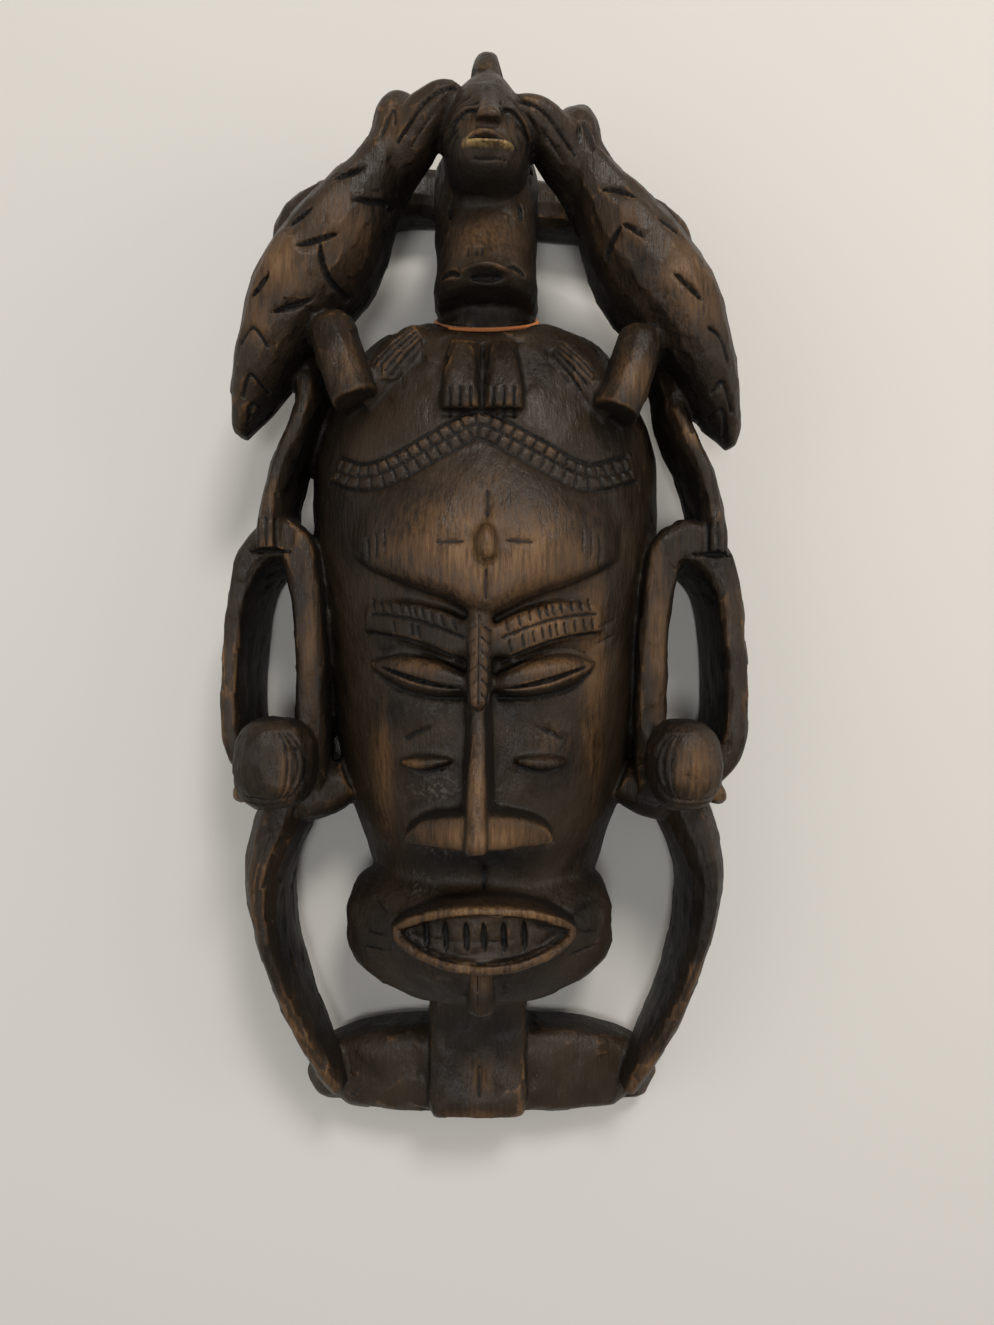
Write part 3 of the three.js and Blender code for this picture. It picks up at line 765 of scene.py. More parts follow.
@dataclass
class Brows:
    """Two hatched rows over each eye."""

    stations: tuple[Station, ...] = (
        (53, -3, 6.5, 55, 82),
        (38, -4, 8.5, 65, 94),
        (24, -7.5, 9, 70, 100),
        (11, -12.5, 8.5, 70, 104),
        (2, -15, 6, 70, 104),
    )
    parting: tuple[tuple[float, float], ...] = (
        (50, -1.4),
        (42, -2.2),
        (33, -3.8),
        (27, -5.2),
        (19, -8),
        (8.5, -12.4),
    )
    foot: tuple[tuple[float, float], ...] = (
        (50, -10),
        (40, -11.6),
        (29, -14.2),
        (18.7, -18),
        (8, -23),
    )
    strokes: int = 10
    left_strokes: tuple[int, ...] = (2, 4, 5)

    def forms(self) -> list[Form]:
        """The raised brows."""
        return [face_limb(side, list(self.stations), squareness=6) for side in Side]

    def grooves(self) -> list[Groove]:
        """The lines between the rows and the hatching across them.

        Returns:
            The cuts.
        """
        line = spline(np.array(self.parting), 12)
        lean = 1.4
        cuts = []
        for side in Side:
            for rows, depth in ((self.parting, 1.9), (self.foot, 2.0)):
                cuts.append(face_groove(side, Groove(rows, 1.05, depth, above=55)))
            for stroke in range(self.strokes):
                x, y = line[int((stroke + 0.5) / self.strokes * (len(line) - 1))]
                x = x * side.value
                upper = ((x - lean, y + 7.6), (x, y + 1.0))
                lower = ((x + 0.4, y - 1.2), (x + lean, y - 8.0))
                cuts.append(Groove(upper, 1.15, 1.5, Profile.CHIP, above=55))
                if side is Side.RIGHT or stroke in self.left_strokes:
                    cuts.append(Groove(lower, 1.15, 1.4, Profile.CHIP, above=55))
        return cuts


@dataclass
class Eyes:
    """Almond eyes with a slit between the lids, and the small ledges on the cheeks."""

    almond: tuple[Station, ...] = (
        (50.5, -23.2, 0.8, 60, 82),
        (46, -24.4, 4.0, 60, 88),
        (38, -26.3, 7.2, 62, 94.5),
        (28, -28.3, 8.4, 65, 98.5),
        (18, -30.4, 7.8, 68, 101),
        (9, -32.2, 5.2, 70, 101),
        (3.5, -33.2, 2.2, 70, 98),
    )
    cheek: tuple[Station, ...] = (
        (37, -67.4, 1.6, 60, 84),
        (31, -67.8, 3.4, 62, 89),
        (22, -67.2, 3.6, 65, 91.5),
        (14.5, -66.4, 1.6, 65, 90),
    )

    def forms(self) -> list[Form]:
        """The almonds and the ledges on the cheeks.

        Returns:
            The closed shapes.
        """
        made = []
        for side in Side:
            made.append(face_limb(side, list(self.almond), squareness=2.9))
            made.append(face_limb(side, list(self.cheek), squareness=2.6))
        return made

    def grooves(self) -> list[Groove]:
        """The slits, the folds over the lids, the hollows under them and the marks on the cheeks.

        Returns:
            The cuts.
        """
        slit_line = ((47.5, -24.2), (38, -27.6), (29, -30.6), (19, -33), (8, -34.6))
        slit = Groove(slit_line, 1.5, 4.2, Profile.LEAF, above=60)
        folds = (
            ((48, -22.2), (42.5, -19.8), (36, -18.6), (27, -20.2), (19, -23.4), (12, -27)),
            ((46, -18.6), (38, -16.4), (28, -17.4), (20, -20.4), (13, -24)),
        )
        under_line = ((48, -28), (42, -32.8), (36, -35.6), (27, -37.8), (17, -39), (7, -38.8))
        under = Groove(under_line, 1.7, 1.8, above=60)
        mark = Groove(((36.4, -58.2), (30, -54.6), (22.4, -51.2)), 1.9, 1.5, Profile.LEAF, above=60)
        ledge_line = ((13, -67.6), (20, -70.6), (28, -71.6), (36, -69.6))
        ledge = Groove(ledge_line, 1.5, 1.8, Profile.LEAF, above=60)
        cuts = []
        for side in Side:
            cuts += [face_groove(side, cut) for cut in (slit, under, mark, ledge)]
            cuts += [face_groove(side, Groove(fold, 0.6, 0.75, above=60)) for fold in folds]
        for y in (-5, -12):
            cuts.append(Groove(((50, y - 3), (61, y + 2)), 0.8, 1.1, Profile.LEAF, above=30))
        return cuts


@dataclass
class Nose:
    """The ridge with its braid, ending in flat wings."""

    ridge: tuple[Station, ...] = (
        (-1.5, 0, 5.4, 70, 104),
        (-1.5, -12, 5.6, 70, 109),
        (-1.8, -34, 5.0, 70, 111),
        (-1.9, -40.5, 4.6, 70, 111),
        (-2.0, -44.5, 3.4, 70, 107),
        (-2.0, -50, 3.8, 70, 108),
        (-2.3, -75, 4.6, 70, 116.5),
        (-2.8, -96, 5.2, 70, 123.5),
        (-3, -102.2, 5.4, 74, 122.5),
    )
    flank: tuple[Station, ...] = (
        (-2, -38, 6.2, 70, 99),
        (-2.2, -58, 6.4, 70, 102),
        (-2.4, -80, 6.8, 70, 108),
        (-2.6, -92, 7.4, 70, 113),
    )
    wings: tuple[Station, ...] = (
        (-34, -101, 1.8, 70, 97),
        (-29, -98, 4.8, 70, 102),
        (-22, -95.9, 6.6, 70, 106),
        (-12, -95, 7.6, 70, 111.5),
        (-2, -94.7, 8.0, 70, 115),
        (8, -95, 7.6, 70, 111.5),
        (18, -95.9, 6.6, 70, 106),
        (25, -98, 4.8, 70, 102),
        (29.6, -101, 1.8, 70, 97),
    )
    plaits: int = 6

    def forms(self) -> list[Form]:
        """The ridge, its flanks and the wings.

        Returns:
            The closed shapes.
        """
        return [
            limb(np.array(self.ridge), squareness=4.5, around=32),
            limb(np.array(self.flank), squareness=2.2),
            limb(np.array(self.wings), squareness=8, around=48),
        ]

    def grooves(self) -> list[Groove]:
        """The plait on the bridge, and the edge of the wings.

        Returns:
            The cuts.
        """
        cuts = [Groove(((-1.6, -3), (-1.8, -22), (-1.9, -41)), 0.7, 1.1, above=95)]
        for step in range(self.plaits):
            y = -5.5 - step * 6.0
            cuts.append(Groove(((-1.4, y), (4.4, y - 4.6)), 0.9, 1.3, Profile.CHIP, above=95))
            cuts.append(Groove(((-6.6, y - 3.4), (-2.2, y - 1.0)), 0.7, 0.8, Profile.CHIP, above=95))
        under_wings = ((-35, -104.2), (-12, -104.6), (8, -104.6), (31, -104.2))
        cuts.append(Groove(under_wings, 1.4, 1.6, above=60, below=108))
        plait_end = ((-6.4, -35), (-5.2, -41.4), (-2, -44), (1.4, -41.4), (3, -35))
        cuts.append(Groove(plait_end, 0.8, 1.3, above=90))
        return cuts


@dataclass
class Mouth:
    """The lobed plate, the almond ring with its teeth, and the peg under it."""

    middle: float = -2.5
    lobe: tuple[Station, ...] = (
        (63, -139.5, 7, 22, 54),
        (58.5, -140.5, 18, 10, 63),
        (46, -145, 28, 2, 76),
        (27, -149.5, 32, 0, 88),
        (9, -151, 33.5, 0, 93),
    )
    across: tuple[float, ...] = (-40, -31, -16, 0, 16, 31, 40)
    half: tuple[float, ...] = (1.8, 2.5, 2.8, 2.8, 2.8, 2.5, 1.8)
    fronts: tuple[float, ...] = (91, 98, 103.5, 105, 103.5, 98, 91)
    upper: tuple[float, ...] = (-141, -135.0, -130.4, -129.2, -130.4, -135.0, -141)
    lower: tuple[float, ...] = (-142, -148, -152.6, -154, -152.6, -148, -142)
    teeth_x: tuple[float, ...] = (-25, -16.4, -7.3, 0.4, 9, 18)
    panel: tuple[Station, ...] = (
        (-34, -141.2, 2.6, 60, 90),
        (-16, -141.2, 9.5, 60, 96.5),
        (0.5, -141.2, 11.5, 60, 98.5),
        (17, -141.2, 9.5, 60, 96.5),
        (35, -141.2, 2.6, 60, 90),
    )
    peg: tuple[Station, ...] = (
        (-1, -150, 6, 60, 97),
        (-1, -160, 6, 60, 97),
        (-1, -172, 6, 60, 97),
        (-1, -177, 5.8, 62, 95),
    )

    def forms(self) -> list[Form]:
        """Plate, lips, the panel of the teeth and the peg.

        Returns:
            The closed shapes.
        """
        rows = np.array(self.lobe)
        left = rows.copy()
        left[:, 0] = self.middle - rows[:, 0]
        right = rows[::-1].copy()
        right[:, 0] = self.middle + right[:, 0]
        plate = limb(np.vstack([left, right]), squareness=2.1, around=64)
        lips = []
        for heights in (self.upper, self.lower):
            x = np.array(self.across) + 0.5
            lips.append(
                limb(np.column_stack([x, heights, self.half, np.full(7, 60), self.fronts]), squareness=5)
            )
        panel = limb(np.array(self.panel), squareness=6)
        peg = limb(np.array(self.peg), squareness=3.4)
        return [plate, *lips, panel, peg]

    def grooves(self) -> list[Groove]:
        """Gaps between the teeth, the lines of the ring, and the scars beside the mouth.

        Returns:
            The cuts.
        """
        cuts = [
            Groove(((x - 0.3, -134.6), (x + 0.3, -148.8)), 2.0, 3.0, Profile.LEAF, above=80)
            for x in self.teeth_x
        ]
        cuts.append(Groove(((-29, -142.6), (-16, -143.6), (0, -143.8), (13, -143)), 0.55, 0.9, above=80))
        x = np.array(self.across) * 0.93 + 0.5
        for heights, inwards in ((self.upper, -1.9), (self.lower, 1.9)):
            line = np.column_stack([x, np.array(heights) + inwards])
            cuts.append(Groove((), 0.65, 1.2, above=80).moved(line))
        cuts.append(Groove(((24, -137.4), (34, -141), (25, -145.6)), 0.5, 0.7, above=80))
        scars = (
            ((-50.9, -131.3), (-43.4, -137.2)),
            ((-54.5, -145.2), (-44.6, -145.9)),
            ((-57, -153), (-40.4, -151.8)),
            ((40.2, -137.4), (49.6, -132.4)),
            ((42, -144.6), (53, -146.8)),
            ((37.5, -154.6), (53, -152.4)),
        )
        cuts += [Groove(scar, 1.1, 1.4, Profile.CHIP, above=40) for scar in scars]
        cuts.append(Groove(((0.4, -114), (0.2, -126)), 2.4, 1.8, Profile.LEAF, above=60))
        for x in (-2.4, 3.2):
            cuts.append(Groove(((x, -157.5), (x, -175.5)), 0.6, 0.8, above=80))
        return cuts


@dataclass
class Stand:
    """The neck post and the curved foot."""

    post_x: float = -3.5
    foot_x: float = -2.0
    post: tuple[Station, ...] = (
        (0, -168, 24, -3, 56),
        (0, -186, 24, -3, 46),
        (0, -215, 24, -3, 43),
        (0, -238, 24, -3, 45),
        (0, -245, 22.5, -3, 43),
    )
    arc: tuple[Station, ...] = (
        (87, -240.2, 7.2, -3, 14),
        (82, -237.3, 11.6, -3, 19),
        (72, -231.8, 17, -3, 26),
        (50, -228, 20.8, -3, 32),
        (22, -227, 21.9, -3, 35),
    )

    def forms(self) -> list[Form]:
        """Post and foot.

        Returns:
            The closed shapes.
        """
        post = np.array(self.post)
        post[:, 0] += self.post_x
        arc = np.array(self.arc)
        left = arc.copy()
        left[:, 0] = self.foot_x - arc[:, 0]
        right = arc[::-1].copy()
        right[:, 0] = self.foot_x + right[:, 0]
        foot = limb(np.vstack([left, right]), squareness=4, around=48)
        return [limb(post, squareness=9, around=56), foot]

    def grooves(self) -> list[Groove]:
        """The small diamond low on the post."""
        line = ((self.post_x + 0.7, -218), (self.post_x + 0.7, -236))
        return [Groove(line, 2.4, 1.4, Profile.LEAF, above=20)]


@dataclass
class SideMembers:
    """Arms with their hands, the loops, the ball heads and the lower limbs."""

    arm_top: float = 126.0
    left_tuck: float = 6.0
    tuck_reach: float = 30.0
    loop_tuck: float = 3.5
    thicker: float = 1.47
    arm: tuple[Station, ...] = (
        (83, 126, 8, 26, 62),
        (86.5, 112, 7.5, 22, 66),
        (88.5, 100, 6.8, 18, 68),
        (94, 85, 6.2, 16, 70),
        (100.5, 70, 6.2, 14, 71),
        (104.5, 54, 6.2, 12, 72),
        (105.5, 40, 7.5, 12, 74),
        (105.5, 29, 8, 12, 75),
    )
    outer: tuple[Station, ...] = (
        (92, -79, 9, -3, 58),
        (106, -75, 7, -3, 62),
        (116.5, -64, 5.6, -3, 64),
        (119.3, -43, 4.7, -3, 65),
        (117.8, -10, 4.7, -3, 65),
        (114.4, 12, 5.5, -3, 66),
        (108.5, 26, 8, -3, 67),
        (99.5, 34.5, 9.5, -3, 68),
        (90, 36, 9.5, -3, 66),
    )
    inner: tuple[Station, ...] = (
        (101, 37, 7, -3, 66),
        (93, 34, 9, -3, 67),
        (88, 20, 8.6, -3, 68),
        (84.8, -8, 7.6, -3, 68),
        (84.3, -38, 7.6, -3, 67),
        (84.8, -66, 8, -3, 64),
        (86.5, -80, 9, -3, 60),
        (90, -93, 8, -3, 48),
    )
    under: tuple[Station, ...] = (
        (66, -80, 10, 2, 52),
        (78, -86, 12, -3, 57),
        (90, -88, 12, -3, 58),
        (98, -84, 8, -3, 58),
    )
    lower: tuple[Station, ...] = (
        (90, -78, 12, -3, 60),
        (97.5, -96, 13, -3, 65),
        (103.5, -113, 11.5, -3, 68),
        (105.5, -130, 9.2, -3, 68),
        (102, -156, 6.8, 1, 66),
        (93.5, -185, 6.2, 6, 60),
        (84, -207, 6.2, 12, 54),
        (76, -224, 5.4, 18, 48),
        (71.5, -234, 3.4, 20, 42),
    )
    balls: tuple[tuple[Side, float, float, float, float], ...] = (
        (Side.LEFT, -94.5, -68.5, 18.6, 21.0),
        (Side.RIGHT, 90.5, -69.0, 17.0, 20.6),
    )
    ball_depth: float = 20.0
    ball_z: float = 76.0

    def bent(self, side: Side, rows: Array) -> Array:
        """Bends the left arm inwards, the more the lower it comes.

        Args:
            side: The half of the mask.
            rows: Rows of x, y and any further values, given outwards.

        Returns:
            The rows with the bend in them.
        """
        moved = np.array(rows, dtype=float)
        tuck = self.left_tuck if side is Side.LEFT else 0.0
        moved[:, 0] -= tuck * np.clip((self.arm_top - moved[:, 1]) / self.tuck_reach, 0, 1)
        return moved

    def forms(self) -> list[Form]:
        """All members of both sides.

        Returns:
            The closed shapes.
        """
        made = []
        for side in Side:
            own = 1.0 if side is Side.RIGHT else 0.0
            outer = np.array(self.outer) + own * np.array([-self.thicker, 0, self.thicker, 0, 0])
            inner = np.array(self.inner) - own * np.array([self.loop_tuck, 0, 0, 0, 0])
            made.append(side_limb(side, self.bent(side, self.arm), squareness=2.6, around=12))
            made.append(side_limb(side, outer, squareness=5))
            made.append(side_limb(side, inner, squareness=5, lean=side.value * 0.1))
            made.append(side_limb(side, list(self.under), squareness=3))
            made.append(side_limb(side, list(self.lower), squareness=2.4, around=12))
        for ball in self.balls:
            made += self.ball(*ball)
        return made

    def ball(self, side: Side, x: float, y: float, width: float, height: float) -> list[Form]:
        """One ball head with the wood that carries it and its small knob.

        Args:
            side: The half of the mask.
            x: Place across the mask, in shares.
            y: Height on the mask, in shares.
            width: Half the ball's width.
            height: Half the ball's height.

        Returns:
            The ball, its root and its knob.
        """
        turn = np.linspace(0.02, math.pi - 0.02, 9)
        angle = 2 * math.pi * (np.arange(13) + 0.3) / 13
        ahead = np.outer(squared(np.sin(turn), 3), squared(np.sin(angle), 3))
        rings = np.stack(
            [
                x + width * np.outer(squared(np.sin(turn), 2.5), squared(np.cos(angle), 2.3)),
                y + height * np.outer(squared(np.cos(turn), 2.4), np.ones(len(angle))),
                self.ball_z + self.ball_depth * ahead,
            ],
            axis=-1,
        )
        s = side.value
        root = limb(
            np.array(
                [
                    [x + s * 4, y - 14, 12, 20, 74],
                    [x, y, 14, 20, 74],
                    [x - s * 2, y + 12, 10, 20, 70],
                ]
            )
        )
        knob = limb(
            np.array(
                [
                    [x + s * 13, y - 11, 6, 48, 66],
                    [x + s * 19, y - 16, 4.5, 50, 66],
                    [x + s * 22, y - 19, 2, 54, 62],
                ]
            )
        )
        return [skin(rings), root, knob]

    def grooves(self) -> list[Groove]:
        """Fingers, the locks of hair round each ball head and the arris along each lower limb.

        Returns:
            The cuts.
        """
        arris = ((98, -98), (103, -112), (106.5, -132), (103, -156), (94.5, -184), (86, -205))
        cuts = []
        for side in Side:
            for offset in (-3.8, 0.2, 4.2):
                line = self.bent(side, np.array([(105.4 + offset, 43), (105.2 + offset, 28)]))
                cuts.append(groove_on(side, Groove((), 0.9, 1.8, above=50).moved(line)))
            nails = self.bent(side, np.array([(96, 28.4), (114, 28.2)]))
            cuts.append(groove_on(side, Groove((), 1.2, 2.4, above=50).moved(nails)))
            cuts.append(groove_on(side, Groove(arris, 1.3, 0.9, Profile.RIDGE, above=30)))
        for side, x, y, width, height in self.balls:
            s = side.value
            for ring, half in ((0.5, 1.0), (0.7, 0.9), (0.86, 0.9)):
                turn = np.radians(np.linspace(-58, 58, 9))
                line = np.stack(
                    [x - s * width * ring * np.cos(turn), y + height * 0.8 * np.sin(turn)], axis=1
                )
                cuts.append(Groove((), half, 1.3, above=60).moved(line))
            for low in (-0.62, -0.74):
                line = ((x - 0.6 * width, y + low * height), (x, y + (low - 0.08) * height),
                        (x + 0.6 * width, y + low * height))
                cuts.append(Groove(line, 0.8, 0.9, Profile.LEAF, above=60))
        return cuts


@dataclass
class Birds:
    """The two long-beaked birds with their thighs, toes and cut plumage."""

    body: tuple[Station, ...] = (
        (34.5, 232, 3, 68, 82),
        (36, 227.5, 8.4, 62, 90),
        (39, 219, 10.4, 58, 95),
        (42.3, 208.5, 10.2, 54, 95),
        (48, 197, 12.7, 46, 96),
        (57.5, 184, 17.4, 34, 98),
        (70, 165, 21.8, 28, 101),
        (85.3, 144, 20.4, 30, 101),
        (97.4, 121.5, 14.7, 36, 95),
        (105.7, 103, 10.2, 42, 86),
        (111.5, 90, 5.5, 48, 76),
        (114, 83, 2, 52, 68),
    )
    beak: tuple[Station, ...] = (
        (45, 194, 9, 50, 88),
        (39, 203, 11.2, 60, 94),
        (32, 210, 11.6, 66, 99),
        (25, 216, 10.2, 72, 103),
        (17, 220.8, 8.4, 76, 105),
        (10, 223, 6.3, 78, 102),
    )
    thigh: tuple[Station, ...] = (
        (70.5, 134, 6, 60, 80),
        (69, 129, 10.4, 56, 92),
        (62, 108, 10.6, 62, 99),
        (56.5, 93, 10.4, 68, 103),
    )
    toes: tuple[Station, ...] = (
        (56, 95, 7, 62, 84),
        (47.5, 104, 9, 58, 84.5),
        (38, 115, 9.5, 56, 85),
        (30, 126, 7.5, 52, 79),
        (27.5, 130, 3, 54, 74),
    )

    def forms(self) -> list[Form]:
        """Body, beak, thigh and toes of both birds.

        Returns:
            The closed shapes.
        """
        made = []
        for side in Side:
            made.append(side_limb(side, list(self.body), around=16))
            made.append(side_limb(side, list(self.beak), around=16))
            made.append(side_limb(side, list(self.thigh), squareness=2.4, around=12))
            made.append(side_limb(side, list(self.toes)))
        return made

    def left_feathers(self) -> tuple[tuple[tuple[float, float], ...], ...]:
        """The plumage of the left bird, given outwards.

        Returns:
            The lines of the cuts.
        """
        return (
            ((58, 177.4), (48, 179), (39.5, 183)),
            ((81, 156), (71, 159.5), (61.5, 162.5)),
            ((92.5, 128.6), (83, 132), (73.5, 135.8)),
            ((70, 160.5), (67.7, 147), (61, 142), (50, 145)),
            ((66, 186), (51, 192.8)),
            ((85, 166), (73, 173.8)),
            ((101.5, 136), (92, 146)),
        )

    def right_feathers(self) -> tuple[tuple[tuple[float, float], ...], ...]:
        """The plumage of the right bird, in the frame's own directions.

        Returns:
            The lines of the cuts.
        """
        return (
            ((67, 177.4), (59, 180.4), (50.5, 182.2)),
            ((84.5, 161.6), (80, 165), (74.5, 168.4)),
            ((69.5, 159), (64.5, 163), (59.5, 166.5)),
            ((60, 166), (57, 160), (54, 154)),
            ((94.5, 132.4), (88, 138), (81, 144.6)),
        )

    def chevrons(self) -> tuple[tuple[tuple[float, float], ...], ...]:
        """The pointed marks towards the tips of the tails, in the frame's own directions.

        Returns:
            The lines of the cuts.
        """
        return (
            ((-107, 117.6), (-100.6, 123), (-94.6, 115.6)),
            ((-108, 96.6), (-103.2, 104.4), (-96, 97)),
            ((-109, 83.6), (-104.2, 94), (-96.4, 89)),
            ((101.5, 97), (105.8, 100.8), (111.4, 89.6)),
            ((99.5, 86.8), (107, 90.2), (111.4, 78)),
            ((98, 122), (103.4, 118.4), (107.6, 109.6)),
        )

    def grooves(self) -> list[Groove]:
        """Feathers, the gape of the beak, the eye and the gaps between the toes.

        Returns:
            The cuts.
        """
        cuts = []
        for line in self.left_feathers():
            cuts.append(groove_on(Side.LEFT, Groove(line, 1.7, 3.2, Profile.CHIP, above=50)))
        for line in self.right_feathers():
            cuts.append(Groove(line, 1.7, 3.2, Profile.CHIP, above=50))
        for line in self.chevrons():
            cuts.append(Groove(line, 1.1, 1.9, above=50))
        gape = Groove(((37, 203.6), (30, 210.8), (23, 217.6), (12, 222.6)), 0.9, 2.0, above=70)
        lower_gape = Groove(((33, 199.6), (27.5, 206), (20, 213.4)), 0.7, 1.2, Profile.LEAF, above=70)
        eye = Groove(((44.9, 205), (42.4, 212), (38.8, 219)), 1.6, 1.5, Profile.CHIP, above=70)
        lash = Groove(((38.6, 218.6), (38.2, 209.4)), 1.2, 1.2, Profile.LEAF, above=70)
        toes = [
            Groove(
                ((45 + offset * 0.8, 108 + offset * 0.72), (30 + offset * 0.5, 125 + offset * 0.5)),
                0.7,
                1.3,
                above=60,
                below=94,
            )
            for offset in (-4.6, -1.5, 1.5, 4.6)
        ]
        for side in Side:
            cuts += [groove_on(side, cut) for cut in (gape, lower_gape, eye, lash, *toes)]
        return cuts


@dataclass
class TopFigure:
    """The arching bar, the broad-muzzled column and the small head that leans over it."""

    column_x: float = 1.0
    head_x: float = 1.5
    bar_x: float = -2.5
    neck_half: float = 23.0
    neck_back: float = 18.0
    neck_front: float = 78.0
    face_x: float = 2.6
    upper_lip: tuple[tuple[float, float, float, float], ...] = (
        (-8.6, 192.8, 0.8, 114),
        (-4, 194.4, 1.7, 119.5),
        (0.8, 195.2, 2.0, 121.5),
        (7, 194.2, 1.7, 119.5),
        (12.8, 191.4, 0.8, 114),
    )
    lower_lip: tuple[tuple[float, float, float, float], ...] = (
        (-8.6, 193.2, 0.7, 114),
        (-4, 191.8, 1.2, 119.8),
        (2.2, 190.9, 1.4, 122),
        (8.5, 191.2, 1.2, 119.8),
        (13, 192.2, 0.7, 114),
    )
    reach: tuple[Station, ...] = (
        (98.5, 181, 4.5, -3, 32),
        (97, 189.5, 8, -3, 36),
        (90.5, 199, 10.2, -3, 37),
        (77, 207, 12.4, -3, 36),
        (54, 213.5, 13, -3, 32),
        (27, 216.5, 12.5, -3, 27),
    )
    shaft: tuple[Station, ...] = (
        (0, 220, 17, 8, 64),
        (0, 208, 24, 6, 82),
        (0, 186, 24.5, 8, 88),
        (0, 168, 23.5, 10, 94),
        (0, 155, 23, 12, 101),
        (0, 144, 24, 14, 106),
        (0, 138.5, 21, 20, 102),
    )
    lips: tuple[Station, ...] = (
        (-8.8, 143.4, 1.2, 80, 107),
        (-3, 144.4, 2.3, 80, 110.5),
        (3, 144.6, 2.5, 80, 111),
        (8, 143.8, 2.0, 80, 109.5),
        (11.4, 143, 1.0, 80, 106.5),
    )
    collar: tuple[Station, ...] = (
        (0, 123, 24.5, 50, 76),
        (-0.3, 117, 25.4, 50, 81),
        (-0.6, 110, 24, 50, 85),
        (-0.8, 100, 21, 50, 88),
        (-0.8, 91, 19, 50, 88),
    )
    neck: tuple[Station, ...] = (
        (0, 160, 23, 18, 78),
        (0, 133, 23, 18, 78),
        (0, 123, 25.5, 30, 78.5),
        (0, 112, 25, 50, 88),
    )
    foot: tuple[Station, ...] = (
        (-9, 120, 6.4, 60, 87),
        (-9.6, 108, 7.4, 60, 95),
        (-9.8, 95, 8.9, 60, 101),
        (-9.8, 87, 9.1, 62, 101),
    )
    skull: tuple[Station, ...] = (
        (0, 249.3, 1.5, 74, 82),
        (0, 246.5, 5, 69, 88),
        (0, 240, 7, 66, 92),
        (0, 234, 8, 62, 95),
        (0, 229, 11.5, 56, 101),
        (0, 220, 16.8, 48, 108),
        (0, 209, 20, 44, 113),
        (0, 197, 18.6, 46, 116),
        (0, 187, 14.5, 52, 117),
        (0, 180.5, 8, 62, 112),
    )

    def forms(self) -> list[Form]:
        """All forms of the figure on top.

        Returns:
            The closed shapes.
        """
        bar = np.vstack(
            [
                HAND_CUT.place(Side.LEFT, np.array(self.reach)),
                HAND_CUT.place(Side.RIGHT, np.array(self.reach))[::-1],
            ]
        )
        bar[:, 0] += self.bar_x
        shift = np.array([self.column_x, 0, 0, 0, 0])
        left = np.array(self.foot)
        right = left.copy()
        right[:, 0] = -right[:, 0] - 0.9
        skull = np.array(self.skull) + np.array([self.head_x, 0, 0, 0, 0])
        return [
            limb(bar, squareness=3, around=16),
            limb(np.array(self.shaft) + shift, squareness=2.8, around=48),
            limb(np.array(self.neck) + shift, squareness=2.4, around=48),
            limb(np.array(self.lips)),
            limb(np.array(self.collar) + shift, squareness=6, around=48),
            limb(left, squareness=4.5),
            limb(right, squareness=4.5),
            limb(skull, around=40),
            *self.face(),
        ]

    def face(self) -> list[Form]:
        """Nose, lips and closed lids of the small head.

        Returns:
            The closed shapes.
        """
        nose = limb(
            np.array(
                [
                    [2.2, 222, 2.4, 90, 108.5],
                    [2.2, 214, 3.2, 90, 113.5],
                    [2.3, 207, 4.6, 90, 118.5],
                    [2.4, 203, 5.8, 90, 121.5],
                    [2.4, 200.8, 6.0, 92, 121.5],
                ]
            ),
            squareness=4,
        )
        upper = limb(np.array([(x, y, half, 95, front) for x, y, half, front in self.upper_lip]))
        lower = limb(np.array([(x, y, half, 95, front) for x, y, half, front in self.lower_lip]))
        lid = np.array(
            [
                [-15.6, 199.8, 0.8, 85, 104],
                [-12.4, 203.4, 2.6, 85, 110.5],
                [-8, 206.6, 3.2, 85, 115],
                [-3, 208, 1.6, 85, 116],
            ]
        )
        other = lid.copy()
        other[:, 0] = 2 * self.face_x - lid[:, 0]
        return [nose, upper, lower, limb(lid), limb(other)]

    def grooves(self) -> list[Groove]:
        """Toes, nostrils and slits of the column, and the fine lines of the small head.

        Returns:
            The cuts.
        """
        cuts = []
        for x in (-9.8, 8.9):
            for offset in (-4.6, 0.0, 4.6):
                cuts.append(Groove(((x + offset, 95.5), (x + offset, 84.5)), 0.9, 2.2, above=80))
        cuts.append(Groove(((-0.4, 119), (-0.4, 85)), 1.1, 2.4, above=70))
        slits = (((-15.2, 181.4), (-14.4, 172.4)), ((16.2, 181.6), (17, 172.2)))
        cuts += [Groove(slit, 1.5, 2.4, Profile.LEAF, above=50) for slit in slits]
        for x in (-6.4, -2.9, -0.4):
            cuts.append(Groove(((x, 155.8), (x + 0.2, 149.8)), 0.75, 1.3, Profile.LEAF, above=80))
        mouth = (
            (((-19.8, 143.6), (-14.6, 144.2), (-9.6, 141.8)), 1.8),
            (((10.4, 145.4), (14, 145.8), (18.6, 143.2)), 1.6),
            (((-6.4, 140.9), (1.6, 140.6), (9.6, 140.9)), 1.9),
        )
        cuts += [Groove(line, half, 2.8, Profile.LEAF, above=80) for line, half in mouth]
        eye = (
            (((-16.4, 200.2), (-13.4, 205.4), (-8.6, 209.6), (-2.6, 211)), 1.1, 1.9),
            (((-15, 198.6), (-11.4, 203), (-7, 205.8), (-2.6, 206.4)), 1.0, 1.7),
            (((-17.4, 206), (-11.4, 212.4), (-5.6, 215)), 0.8, 1.1),
        )
        for line, half, depth in eye:
            across = tuple((2 * self.face_x - x, y) for x, y in line)
            cuts += [Groove(way, half, depth, above=70) for way in (line, across)]
